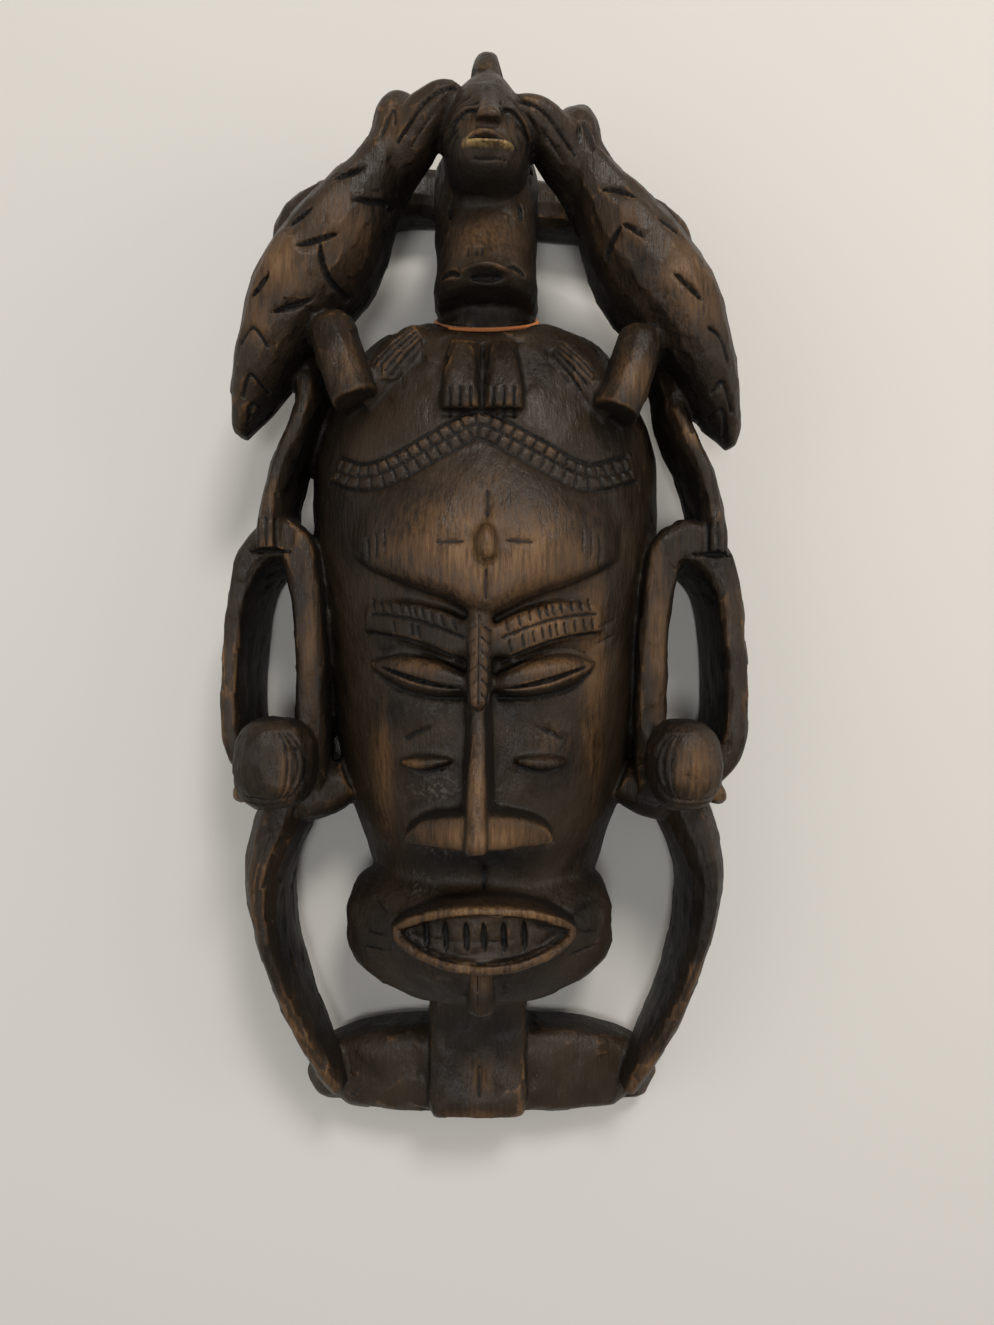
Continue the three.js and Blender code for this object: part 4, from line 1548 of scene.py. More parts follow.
        cheeks = (
            ((-15, 202), (-11, 204.3), (-6.8, 203.6)),
            ((-15.4, 197.7), (-12.4, 200.2), (-9.4, 200.4)),
            ((-14.6, 193.4), (-12.1, 197.2), (-9.4, 198)),
            ((13.7, 202.2), (16.6, 201.5), (19.8, 199)),
            ((14.1, 198.4), (16.4, 197.2), (17.4, 194.7)),
            ((11.8, 196.5), (13.7, 193.6), (15.9, 190.4)),
        )
        cuts += [Groove(line, 1.0, 1.6, Profile.LEAF, above=60) for line in cheeks]
        parting = ((-6.4, 193.2), (1.4, 192.8), (10.6, 192.9))
        cuts.append(Groove(parting, 0.9, 1.8, Profile.LEAF, above=90))
        cuts.append(Groove(((-6, 186.4), (2, 185.6), (11, 186.4)), 0.9, 1.2, Profile.LEAF, above=90))
        return cuts


@dataclass(frozen=True)
class WearAndShadeOval:
    """An oval place seen from the front: where hands and dusters have rubbed, where painted shade falls,
    where dust lies, or where the wood is levelled, as its list says.
    """

    x: float
    y: float
    half_width: float
    half_height: float
    strength: float
    above: float = 30.0

    def share(self, points: Array) -> Array:
        """How strongly each point, in shares, belongs to the place.

        Args:
            points: The points, in shares.

        Returns:
            One share for each point, from 0 to the place's strength.
        """
        away = ((points[:, 0] - self.x) / self.half_width) ** 2
        away += ((points[:, 1] - self.y) / self.half_height) ** 2
        return self.strength * np.exp(-1.2 * away) * (points[:, 2] > self.above)


SOFT_PLACES = ((WearAndShadeOval(-2, -116, 50, 8, 1.0, 50), 160), (WearAndShadeOval(1, 180, 16, 5, 1.0, 60), 40))
SMOOTH_PLACES = (WearAndShadeOval(2, 200, 26, 30, 1.0, 60), WearAndShadeOval(1, 148, 26, 12, 1.0, 60))
# Painted shade: ovals that darken the wood where shade falls, under the small head's chin and round the
# neck, under and between the birds, under the forehead ledge and the lids, beside the nose, under the
# nose wings, beside and under the mouth, and on the loops' inner walls; the last three simply darken the
# lower limbs and the post.
SHADE_PLACES = (
    WearAndShadeOval(1, 133, 26, 7, 1.0, 60),
    WearAndShadeOval(1, 182, 20, 7, 0.8, 60),
    WearAndShadeOval(-55, 152, 12, 16, 0.8, 60),
    WearAndShadeOval(56, 152, 12, 16, 0.8, 60),
    WearAndShadeOval(-66, 92, 20, 12, 0.7, 60),
    WearAndShadeOval(-38, 117, 14, 12, 0.6, 60),
    WearAndShadeOval(40, 112, 14, 12, 0.6, 60),
    WearAndShadeOval(68, 88, 20, 12, 0.7, 60),
    WearAndShadeOval(-27, -8, 26, 9, 0.55, 80),
    WearAndShadeOval(-2, -112, 52, 8, 1.0, 40),
    WearAndShadeOval(-50, -145, 12, 26, 0.8, 40),
    WearAndShadeOval(48, -145, 12, 26, 0.7, 40),
    WearAndShadeOval(-2, -170, 40, 9, 0.9, 40),
    WearAndShadeOval(30, -76, 14, 16, 0.6, 60),
    WearAndShadeOval(-30, -46, 24, 5, 0.6, 70),
    WearAndShadeOval(30, -46, 24, 5, 0.5, 70),
    WearAndShadeOval(-74, -60, 8, 60, 0.8, 20),
    WearAndShadeOval(76, -60, 8, 60, 0.8, 20),
    WearAndShadeOval(-72, 60, 10, 50, 0.5, 20),
    WearAndShadeOval(-100, -130, 8, 40, 0.6, 20),
    WearAndShadeOval(100, -130, 8, 40, 0.7, 20),
    WearAndShadeOval(-3, -200, 30, 14, 0.6, 20),
)
DUSTY_PLACES = (
    WearAndShadeOval(-20, -79, 12, 6, 1.0, 70),
    WearAndShadeOval(7, -84, 3, 5, 0.8, 70),
    WearAndShadeOval(-20, -107, 9, 4, 0.8, 70),
    WearAndShadeOval(-22, -43, 14, 3, 0.8, 70),
    WearAndShadeOval(-29, -124, 6, 6, 0.7, 60),
    WearAndShadeOval(26, -56, 9, 8, 0.4, 70),
)

WORN_PLACES = (
    WearAndShadeOval(1.5, 24, 48, 26, 0.85, 80),
    WearAndShadeOval(1.5, 50, 34, 16, 0.3, 80),
    WearAndShadeOval(-58, 166, 16, 26, 0.45, 80),
    WearAndShadeOval(-88, 150, 18, 18, 0.6, 80),
    WearAndShadeOval(-98, 128, 10, 14, 0.5, 70),
    WearAndShadeOval(62, 158, 16, 24, 0.4, 80),
    WearAndShadeOval(90, 140, 18, 22, 0.75, 80),
    WearAndShadeOval(-60, 104, 9, 14, 0.55, 80),
    WearAndShadeOval(66, 100, 9, 14, 0.75, 80),
    WearAndShadeOval(-40, 214, 8, 14, 0.35, 70),
    WearAndShadeOval(40, 212, 9, 14, 0.35, 70),
    WearAndShadeOval(24, -7, 26, 9, 0.7, 80),
    WearAndShadeOval(-28, -24, 20, 7, 0.4, 80),
    WearAndShadeOval(30, -24, 20, 7, 0.55, 80),
    WearAndShadeOval(-1.5, -24, 5, 22, 0.7, 100),
    WearAndShadeOval(-2.5, -76, 5, 30, 0.75, 95),
    WearAndShadeOval(-2, -96, 34, 9, 0.7, 94),
    WearAndShadeOval(0.5, -130, 40, 5, 0.55, 88),
    WearAndShadeOval(0.5, -153, 36, 4, 0.4, 88),
    WearAndShadeOval(-1, -165, 6, 14, 0.8, 80),
    WearAndShadeOval(30, -62, 12, 16, 0.4, 75),
    WearAndShadeOval(50, -20, 7, 70, 0.6, 50),
    WearAndShadeOval(-46, -70, 6, 40, 0.5, 50),
    WearAndShadeOval(1, 205, 20, 18, 0.35, 90),
    WearAndShadeOval(1, 160, 20, 16, 0.35, 80),
    WearAndShadeOval(-80, -20, 5, 50, 0.5, 50),
    WearAndShadeOval(80, -10, 6, 50, 0.7, 50),
    WearAndShadeOval(90, -69, 14, 16, 0.6, 80),
    WearAndShadeOval(-86, -72, 7, 16, 0.6, 80),
    WearAndShadeOval(-3.5, -226, 10, 14, 0.4, 30),
    WearAndShadeOval(-3.5, -243, 22, 3, 0.5, 20),
)
UPPER_RING = (
    *((-40, -141), (-31, -135), (-15.5, -130.4), (0.5, -129.2)),
    *((16.5, -130.4), (31, -135), (41, -141)),
)
LOWER_RING = (
    *((-40, -142), (-31, -148), (-15.5, -152.6), (0.5, -154)),
    *((16.5, -152.6), (31, -148), (41, -142)),
)
WORN_LINES = ((UPPER_RING, 2.4, 0.75), (LOWER_RING, 2.4, 0.65))
GILT_LINES = (
    (((-8, 193.6), (-5, 195.6), (-1.8, 197.1), (2, 197.4), (5, 196.7)), 0.5),
    (((-8.6, 193), (-4, 191.6), (2.2, 190.7), (8.5, 191), (13, 192)), 0.95),
)


@dataclass
class CarvedMask:
    """The whole carving: joined, hollowed, smoothed, cut and worn."""

    voxel: float = 0.75
    rough_voxel: float = 1.0
    snap: float = 0.3
    unevenness: float = 0.22
    flat: float = 8.0
    deepest_flat: float = 0.6
    flatness: float = 0.85
    turning_price: float = 90.0
    flats_from_x: float = 64.0
    flats_from_middle: float = 106.0
    middle_y: float = -20.0
    # Painted shade on walls that turn away from the front: its strength, the normal's upward share below
    # which it starts, and over how much of that share it grows to full.
    side_shade: float = 0.85
    side_turn: float = 0.62
    side_fade: float = 0.45
    most_triangles: int = 197_000
    face_parts: tuple[object, ...] = (Forehead(), LadderBand(), Brows(), Eyes(), Nose(), Mouth())
    other_parts: tuple[object, ...] = (Stand(), SideMembers(), Birds(), TopFigure())

    def build(self) -> bpy.types.Object:
        """Makes the carving as one mesh object.

        Returns:
            The object, with its wear, hollows and painted shade stored on its points.
        """
        parts = (*self.face_parts, *self.other_parts)
        forms = [SHELL.solid()]
        for part in parts:
            forms += part.forms()
        rough = self.remeshed(join_forms(forms), self.rough_voxel)
        self.flatten_back(rough)
        self.hollow_out(rough)
        for place, rounds in SOFT_PLACES:
            rough.level(place.share(rough.points), rounds)
        fine = self.remeshed((rough.points, rough.faces), self.voxel)
        fine.smooth(3, 0.5)
        LOG.info("joined carving: %d points", len(fine.points))
        self.hand_tooled(fine)
        edges = fine.relief(6)
        wide = fine.relief(50)
        grooves = [groove for part in parts for groove in part.grooves()]
        fine.cut(grooves, self.snap)
        LOG.info("cut %d grooves", len(grooves))
        self.seat_thread(fine)
        self.flatten_back(fine)
        self.keep_inside(fine)
        reliefs = {
            "edges": edges,
            "wide_relief": wide,
            "near_relief": fine.relief(4),
            "incised": fine.incised,
        }
        return self.finished(fine, reliefs)

    def seat_thread(self, surface: Surface) -> None:
        """Presses the wood in under the thread, so that it lies free in its seat.

        Args:
            surface: The carving's surface, which is changed.
        """
        path = NeckThread().path()
        out = path.outwards()
        clear = path.clear + 0.1
        near = np.flatnonzero(
            (surface.points[:, 1] > path.front_y - 4)
            & (surface.points[:, 1] < path.back_y + 4)
            & (np.abs(surface.points[:, 0] - path.x) < path.half_width + 4)
            & (np.abs(surface.points[:, 2] - path.z) < path.half_depth + 4)
        )
        spots = surface.points[near]
        best = np.full(len(near), 1e9)
        index = np.zeros(len(near), dtype=int)
        for step, centre in enumerate(path.centre):
            gap = ((spots - centre) ** 2).sum(axis=1)
            closer = gap < best
            best[closer] = gap[closer]
            index[closer] = step
        from_core = spots - path.centre[index]
        outwards = np.einsum("ij,ij->i", from_core, out[index])
        upwards = np.abs(from_core[:, 1])
        limit = -np.sqrt(np.clip(clear**2 - upwards**2, 0, None))
        pressed = (upwards < clear) & (outwards > limit) & (outwards < clear + 3)
        step_in = (limit - outwards)[pressed]
        surface.points[near[pressed]] += out[index[pressed]] * step_in[:, None]
        surface.find_normals()

    def keep_inside(self, surface: Surface) -> None:
        """Keeps every point inside the box of the frame's solid."""
        low, high = (np.array(corner) / SHARE_M for corner in cad_box)
        surface.points = np.clip(surface.points, low, high)

    def remeshed(self, source: tuple[Array, Array], voxel: float) -> Surface:
        """Joins overlapping closed shapes into one skin of even squares.

        Args:
            source: Points and faces of the closed shapes.
            voxel: Side of the even squares, in shares.

        Returns:
            The new surface.
        """
        points, faces = source
        mesh = mesh_from(points * SHARE_M, faces, "rough")
        holder = bpy.data.objects.new("rough", mesh)
        bpy.context.scene.collection.objects.link(holder)
        modifier = holder.modifiers.new("skin", "REMESH")
        modifier.mode = "VOXEL"
        modifier.voxel_size = voxel * SHARE_M
        made = holder.evaluated_get(bpy.context.evaluated_depsgraph_get()).to_mesh()
        count = len(made.vertices)
        read = np.empty(count * 3, dtype=np.float32)
        made.vertices.foreach_get("co", read)
        corners = np.empty(len(made.loops), dtype=np.int32)
        made.loops.foreach_get("vertex_index", corners)
        surface = Surface(read.reshape(-1, 3).astype(float) / SHARE_M, corners.reshape(-1, 4))
        bpy.data.objects.remove(holder)
        bpy.data.meshes.remove(mesh)
        return surface

    def flatten_back(self, surface: Surface) -> None:
        """Planes the back flat."""
        surface.points[:, 2] = np.maximum(surface.points[:, 2], 0.0)
        surface.find_normals()

    def hollow_out(self, surface: Surface) -> None:
        """Lifts the flat back behind the face to the depth of the hollow.

        Args:
            surface: The carving's surface, which is changed.
        """
        depth = SHELL.hollow_depth(surface.points[:, 0], surface.points[:, 1])
        back = (surface.points[:, 2] < 2.5) & (surface.normals[:, 2] < 0.2)
        lifted = back & (depth > 0)
        surface.points[lifted, 2] = depth[lifted]
        surface.find_normals()

    def hand_tooled(self, surface: Surface) -> None:
        """Gives the surfaces the slight unevenness of knife work.

        Args:
            surface: The carving's surface, which is changed.
        """
        x, y, z = surface.points.T
        waves = (
            np.sin(0.23 * x + 0.9 * np.sin(0.11 * y)) * np.sin(0.19 * y + 0.8 * np.sin(0.13 * z + 1.0))
            + 0.6 * np.sin(0.41 * x + 1.7) * np.sin(0.37 * y + 0.5 * z * 0.3)
            + 0.5 * np.sin(0.33 * z + 0.21 * y + 2.1) * np.sin(0.29 * x + 0.6)
        )
        free = np.clip(surface.points[:, 2] / 6, 0, 1)
        surface.points += surface.normals * (self.unevenness * waves * free)[:, None]
        surface.find_normals()
        self.faceted(surface)

    def faceted(self, surface: Surface) -> None:
        """Planes the limbs, the birds and the plate into small flats, as a knife leaves them.

        Args:
            surface: The carving's surface, which is changed.
        """
        x, y, z = surface.points.T
        share = np.clip((np.abs(x) - self.flats_from_x) / 8, 0, 1)
        beyond = np.abs(y - self.middle_y) - self.flats_from_middle
        share = np.maximum(share, np.clip(beyond / 10, 0, 1))
        for place in SMOOTH_PLACES:
            share *= 1 - place.share(surface.points)
        share *= np.clip(z / 4 - 1, 0, 1)
        free = np.flatnonzero(share > 0.05)
        free = free[np.argsort(y[free])]
        heights = y[free]
        count = int(len(free) * self.voxel**2 / self.flat**2)
        seeds = np.random.default_rng(11).choice(free, count, replace=False)
        best = np.full(len(free), 1e9, dtype=np.float32)
        chosen = np.zeros(len(free), dtype=int)
        spots = surface.points[free].astype(np.float32)
        facing = surface.normals[free].astype(np.float32)
        reach = 1.6 * self.flat
        for seed in seeds:
            centre = surface.points[seed].astype(np.float32)
            normal = surface.normals[seed].astype(np.float32)
            low, high = np.searchsorted(heights, (centre[1] - reach, centre[1] + reach))
            part = low + np.flatnonzero(np.abs(spots[low:high, 0] - centre[0]) < reach)
            away = ((spots[part] - centre) ** 2).sum(axis=1)
            away += self.turning_price * (1 - facing[part] @ normal)
            closer = part[away < best[part]]
            best[closer] = away[away < best[part]]
            chosen[closer] = seed
        found = best < 4 * reach**2
        free, chosen = free[found], chosen[found]
        normals = surface.normals[chosen]
        lift = np.einsum("ij,ij->i", surface.points[free] - surface.points[chosen], normals)
        step = np.clip(-lift, -self.deepest_flat, self.deepest_flat) * self.flatness * share[free]
        surface.points[free] += normals * step[:, None]
        surface.smooth(1, 0.4)

    def finished(self, surface: Surface, reliefs: dict[str, Array]) -> bpy.types.Object:
        """Thins the mesh where it is plain and stores the wear, dust and painted shade on its points.

        Args:
            surface: The carved surface.
            reliefs: What the material reads, by name, with one number for each point.

        Returns:
            The finished carving.
        """
        mesh = mesh_from(surface.points * SHARE_M, surface.faces, "carved_mask_wood")
        for name, values in reliefs.items():
            store(mesh, name, values)
        carving = bpy.data.objects.new("carved_mask_wood", mesh)
        bpy.context.scene.collection.objects.link(carving)
        thin = carving.modifiers.new("thin", "DECIMATE")
        thin.ratio = min(1.0, self.most_triangles / (2 * len(surface.faces)))
        graph = bpy.context.evaluated_depsgraph_get()
        made = bpy.data.meshes.new_from_object(carving.evaluated_get(graph))
        carving.modifiers.clear()
        carving.data = made
        made.name = "carved_mask_wood"
        made.shade_smooth()
        self.store_rubbing(made)
        LOG.info("carving: %d faces", len(made.polygons))
        return carving

    def store_rubbing(self, mesh: bpy.types.Mesh) -> None:
        """Stores how much each point has been rubbed, where it is worn to gold, where it is dusty, and
        where painted shade darkens it.

        Args:
            mesh: The finished mesh.
        """
        read = np.empty(len(mesh.vertices) * 3, dtype=np.float32)
        mesh.vertices.foreach_get("co", read)
        points = read.reshape(-1, 3) / SHARE_M
        mesh.vertices.foreach_get("normal", read)
        upwards = read.reshape(-1, 3)[:, 2]
        # Walls that face sideways get painted shade, and so do the shade places.
        sideways = self.side_shade * np.clip((self.side_turn - upwards) / self.side_fade, 0, 1)
        kinds = {"rubbed": WORN_PLACES, "painted_shade": SHADE_PLACES, "dusty": DUSTY_PLACES}
        for name, places in kinds.items():
            total = sideways * (points[:, 2] > 4) if name == "painted_shade" else np.zeros(len(points))
            for place in places:
                total = np.maximum(total, place.share(points))
            if name == "rubbed":
                for line, half, strength in WORN_LINES:
                    towards, _, _ = nearest_on(spline(np.array(line), 5), points[:, :2])
                    away = np.linalg.norm(towards, axis=1) / half
                    worn = strength * np.clip(1.5 - away, 0, 1) * (points[:, 2] > 85)
                    total = np.maximum(total, worn)
            store(mesh, name, total)
        gilt = np.zeros(len(points))
        for line, half in GILT_LINES:
            towards, _, _ = nearest_on(spline(np.array(line), 5), points[:, :2])
            away = np.linalg.norm(towards, axis=1)
            gilt = np.maximum(gilt, np.clip(1.6 - away / half, 0, 1) * (points[:, 2] > 113))
        store(mesh, "gilt", gilt)


def store(mesh: bpy.types.Mesh, name: str, values: Array) -> None:
    """Stores one number for each point of a mesh.

    Args:
        mesh: The mesh.
        name: The name that a material reads it by.
        values: One number for each point.
    """
    attribute = mesh.attributes.new(name, "FLOAT", "POINT")
    attribute.data.foreach_set("value", np.ascontiguousarray(values, dtype=np.float32))


def join_forms(forms: list[Form]) -> tuple[Array, list[Array]]:
    """Puts forms side by side in one list of points and faces.

    Args:
        forms: The closed shapes, which may overlap.

    Returns:
        All points, and all faces as quads and triangles.
    """
    points, quads, triangles = [], [], []
    start = 0
    for form in forms:
        points.append(form.points)
        quads.append(form.quads + start)
        triangles.append(form.triangles + start)
        start += len(form.points)
    return np.vstack(points), [np.vstack(quads), np.vstack(triangles)]


def mesh_from(points: Array, faces: Array | list[Array], name: str) -> bpy.types.Mesh:
    """Makes a mesh from arrays.

    Args:
        points: The points, in metres.
        faces: One array of faces with the same number of corners, or several such arrays.
        name: The name of the mesh.

    Returns:
        The mesh.
    """
    groups = faces if isinstance(faces, list) else [faces]
    groups = [group for group in groups if len(group)]
    corners = np.concatenate([group.ravel() for group in groups]).astype(np.int32)
    totals = np.concatenate([np.full(len(group), group.shape[1]) for group in groups])
    starts = np.concatenate([[0], np.cumsum(totals)[:-1]]).astype(np.int32)
    mesh = bpy.data.meshes.new(name)
    mesh.vertices.add(len(points))
    mesh.vertices.foreach_set("co", np.ascontiguousarray(points, dtype=np.float32).ravel())
    mesh.loops.add(len(corners))
    mesh.loops.foreach_set("vertex_index", corners)
    mesh.polygons.add(len(starts))
    mesh.polygons.foreach_set("loop_start", starts)
    mesh.update(calc_edges=True)
    mesh.validate()
    return mesh


@dataclass
class ThreadPath:
    """The sloping loop that the thread lies in."""

    x: float
    z: float
    half_width: float
    half_depth: float
    clear: float
    front_y: float
    back_y: float
    steps: int

    def __post_init__(self) -> None:
        """Works out the middle line of the loop."""
        self.angle = 2 * math.pi * np.arange(self.steps) / self.steps
        forward = np.sin(self.angle)
        self.centre = np.stack(
            [
                self.x + self.half_width * np.cos(self.angle),
                self.back_y + (self.front_y - self.back_y) * (forward + 1) / 2,
                self.z + self.half_depth * forward,
            ],
            axis=1,
        )

    def outwards(self) -> Array:
        """The direction away from the neck at each step."""
        return np.stack([np.cos(self.angle), np.zeros(self.steps), np.sin(self.angle)], axis=1)


@dataclass
class NeckThread:
    """The thread tied round the neck of the top figure."""

    diameter: float = 2.2
    clearance: float = 0.35
    front_y: float = 127.0
    back_y: float = 155.0
    turns: int = 70

    def path(self) -> ThreadPath:
        """The loop of the thread round the neck.

        Returns:
            The path.
        """
        figure = TopFigure()
        clear = self.diameter / 2 + self.clearance
        return ThreadPath(
            x=figure.column_x,
            z=(figure.neck_back + figure.neck_front) / 2,
            half_width=figure.neck_half + clear,
            half_depth=(figure.neck_front - figure.neck_back) / 2 + clear,
            clear=clear,
            front_y=self.front_y,
            back_y=self.back_y,
            steps=self.turns * 10,
        )

    def build(self) -> bpy.types.Object:
        """Makes two strands twisted round each other along the loop.

        Returns:
            The thread.
        """
        radius = self.diameter / 2
        path = self.path()
        out = path.outwards()
        up = np.tile([0.0, 1.0, 0.0], (path.steps, 1))
        forms = []
        strand = radius * 0.5
        for phase in (0.0, math.pi):
            twist = self.turns * path.angle + phase
            core = path.centre + strand * (out * np.cos(twist)[:, None] + up * np.sin(twist)[:, None])
            turn = 2 * math.pi * np.arange(8) / 8
            aside = out[:, None, :] * np.cos(turn)[None, :, None]
            upwards = up[:, None, :] * np.sin(turn)[None, :, None]
            rings = core[:, None, :] + strand * 0.98 * (aside + upwards)
            forms.append(skin(rings, closed=True))
        points, faces = join_forms(forms)
        mesh = mesh_from(points * SHARE_M, faces, "neck_thread_strands")
        mesh.shade_smooth()
        thread = bpy.data.objects.new("neck_thread_strands", mesh)
        bpy.context.scene.collection.objects.link(thread)
        return thread


class Nodes:
    """A short way to add nodes to a material or a group."""

    def __init__(self, tree: bpy.types.NodeTree) -> None:
        """Keeps the tree that nodes are added to."""
        self.tree = tree

    def add(self, kind: str, **settings: object) -> bpy.types.Node:
        """Adds a node and sets its properties.

        Args:
            kind: The node's type.
            settings: Properties of the node.

        Returns:
            The node.
        """
        node = self.tree.nodes.new(kind)
        for name, value in settings.items():
            setattr(node, name, value)
        return node

    def link(self, source: bpy.types.NodeSocket, target: bpy.types.NodeSocket) -> None:
        """Links two sockets."""
        self.tree.links.new(source, target)

    def feed(self, target: bpy.types.NodeSocket, value: object) -> None:
        """Links or sets a socket, as the value asks.

        Args:
            target: The socket to fill.
            value: A socket or a plain value.
        """
        if isinstance(value, bpy.types.NodeSocket):
            self.link(value, target)
        else:
            target.default_value = value

    def math(
        self, operation: str, first: object, second: object = 0.0, clamp: bool = False
    ) -> bpy.types.NodeSocket:
        """Adds a sum of two numbers.

        Args:
            operation: The kind of sum.
            first: The first socket or value.
            second: The second socket or value.
            clamp: Whether the result is held between 0 and 1.

        Returns:
            The result's socket.
        """
        node = self.add("ShaderNodeMath", operation=operation, use_clamp=clamp)
        self.feed(node.inputs[0], first)
        self.feed(node.inputs[1], second)
        return node.outputs[0]

    def ramp(
        self, value: object, low: float, high: float, out_low: float = 0.0, out_high: float = 1.0
    ) -> bpy.types.NodeSocket:
        """Maps a range of numbers to another, held at its ends.

        Args:
            value: A socket or a plain value.
            low: The value that gives the first result.
            high: The value that gives the last result.
            out_low: The first result.
            out_high: The last result.

        Returns:
            The result's socket.
        """
        node = self.add("ShaderNodeMapRange", interpolation_type="SMOOTHSTEP")
        self.feed(node.inputs["Value"], value)
        ends = {"From Min": low, "From Max": high, "To Min": out_low, "To Max": out_high}
        for name, number in ends.items():
            node.inputs[name].default_value = number
        return node.outputs["Result"]

    def mix(self, share: object, first: object, second: object) -> bpy.types.NodeSocket:
        """Mixes two colours.

        Args:
            share: How much of the second colour.
            first: The first socket or value.
            second: The second socket or value.

        Returns:
            The colour's socket.
        """
        node = self.add("ShaderNodeMix", data_type="RGBA")
        self.feed(node.inputs[0], share)
        self.feed(node.inputs[6], first)
        self.feed(node.inputs[7], second)
        return node.outputs[2]

    def noise(
        self, place: bpy.types.NodeSocket, scale: float, detail: float = 4.0, roughness: float = 0.55
    ) -> bpy.types.NodeSocket:
        """Adds a noise and puts out its value.

        Args:
            place: The socket that gives the place.
            scale: How fine the pattern is.
            detail: Finer layers of the pattern.
            roughness: Strength of the finer layers.

        Returns:
            The value's socket.
        """
        node = self.add("ShaderNodeTexNoise")
        self.link(place, node.inputs["Vector"])
        node.inputs["Scale"].default_value = scale
        node.inputs["Detail"].default_value = detail
        node.inputs["Roughness"].default_value = roughness
        return node.outputs["Fac"]

    def stretched(
        self, place: bpy.types.NodeSocket, scale: tuple[float, float, float]
    ) -> bpy.types.NodeSocket:
        """Stretches a place before a texture reads it.

        Args:
            place: The socket that gives the place.
            scale: How fine the pattern is.

        Returns:
            The stretched place's socket.
        """
        node = self.add("ShaderNodeMapping")
        self.link(place, node.inputs["Vector"])
        node.inputs["Scale"].default_value = scale
        return node.outputs["Vector"]


def new_group(
    name: str, inputs: dict[str, str], outputs: dict[str, str]
) -> tuple[bpy.types.NodeTree, Nodes]:
    """Starts a shader node group with named sockets.

    Args:
        name: The group's name.
        inputs: Names and kinds of its inputs.
        outputs: Names and kinds of its outputs.

    Returns:
        The group and a way to add nodes to it.
    """
    group = bpy.data.node_groups.new(name, "ShaderNodeTree")
    for sockets, direction in ((inputs, "INPUT"), (outputs, "OUTPUT")):
        for label, kind in sockets.items():
            group.interface.new_socket(name=label, in_out=direction, socket_type=kind)
    return group, Nodes(group)


FLOAT, COLOUR, VECTOR = "NodeSocketFloat", "NodeSocketColor", "NodeSocketVector"


def grain_group() -> bpy.types.NodeTree:
    """Fine streaks of wood grain that run up the mask, and its slow changes of tone.

    Returns:
        The group.
    """
    group, nodes = new_group(
        "long_grain", {"Place": VECTOR, "Fineness": FLOAT}, {"Streaks": FLOAT, "Tone": FLOAT}
    )
    came = nodes.add("NodeGroupInput")
    put = nodes.add("NodeGroupOutput")
    drawn = nodes.stretched(came.outputs["Place"], (1.0, 0.09, 0.8))
    scaled = nodes.add("ShaderNodeVectorMath", operation="SCALE")
    nodes.link(drawn, scaled.inputs[0])
    nodes.link(came.outputs["Fineness"], scaled.inputs["Scale"])
    streaks = nodes.noise(scaled.outputs["Vector"], 620.0, 5.0, 0.65)
    broad = nodes.noise(scaled.outputs["Vector"], 130.0, 3.0, 0.5)
    both = nodes.math("ADD", nodes.math("MULTIPLY", streaks, 0.65), nodes.math("MULTIPLY", broad, 0.35))
    nodes.link(both, put.inputs["Streaks"])
    nodes.link(nodes.noise(came.outputs["Place"], 26.0, 3.0, 0.5), put.inputs["Tone"])
    return group


def wear_group() -> bpy.types.NodeTree:
    """Wear on edges and rubbed places, broken up by the grain.

    Returns:
        The group.
    """
    group, nodes = new_group(
        "edge_wear",
        {"Ridge": FLOAT, "Rubbed": FLOAT, "Streaks": FLOAT, "Tone": FLOAT},
        {"Wear": FLOAT},
    )
    came = nodes.add("NodeGroupInput")
    put = nodes.add("NodeGroupOutput")
    edge = nodes.ramp(came.outputs["Ridge"], 0.12, 0.6)
    edge = nodes.math("MULTIPLY", edge, nodes.ramp(came.outputs["Tone"], 0.4, 0.62, 0.1, 0.75))
    patchy = nodes.ramp(came.outputs["Tone"], 0.3, 0.6, 0.6, 1.1)
    rubbed = nodes.math("MULTIPLY", came.outputs["Rubbed"], patchy)
    either = nodes.math("MAXIMUM", edge, rubbed)
    uneven = nodes.ramp(came.outputs["Streaks"], 0.36, 0.62, 0.4, 1.2)
    nodes.link(nodes.math("MULTIPLY", either, uneven, clamp=True), put.inputs["Wear"])
    return group


def dust_group() -> bpy.types.NodeTree:
    """Dust that settles in hollows and speckles the upper surfaces.

    Returns:
        The group.
    """
    group, nodes = new_group(
        "settled_dust", {"Place": VECTOR, "Hollow": FLOAT, "Patch": FLOAT}, {"Dust": FLOAT}
    )
    came = nodes.add("NodeGroupInput")
    put = nodes.add("NodeGroupOutput")
    specks = nodes.ramp(nodes.noise(came.outputs["Place"], 900.0, 2.0, 0.6), 0.66, 0.78)
    patches = nodes.ramp(nodes.noise(came.outputs["Place"], 45.0, 4.0, 0.6), 0.5, 0.75)
    film = nodes.math("MULTIPLY", patches, 0.35)
    low = nodes.ramp(came.outputs["Hollow"], -0.1, -0.6)
    total = nodes.math("ADD", nodes.math("MULTIPLY", specks, 0.35), nodes.math("MULTIPLY", film, low))
    crumbs = nodes.ramp(nodes.noise(came.outputs["Place"], 420.0, 3.0, 0.7), 0.5, 0.62)
    total = nodes.math("ADD", total, nodes.math("MULTIPLY", crumbs, came.outputs["Patch"]))
    nodes.link(nodes.math("MULTIPLY", total, 0.7, clamp=True), put.inputs["Dust"])
    return group


def placed(nodes: Nodes, group: bpy.types.NodeTree, **inputs: object) -> bpy.types.Node:
    """Puts a group into a material with its own values.

    Args:
        nodes: Where it goes.
        group: The group.
        inputs: Values or sockets for its inputs.

    Returns:
        The group's node.
    """
    node = nodes.add("ShaderNodeGroup", node_tree=group)
    for name, value in inputs.items():
        nodes.feed(node.inputs[name], value)
    return node


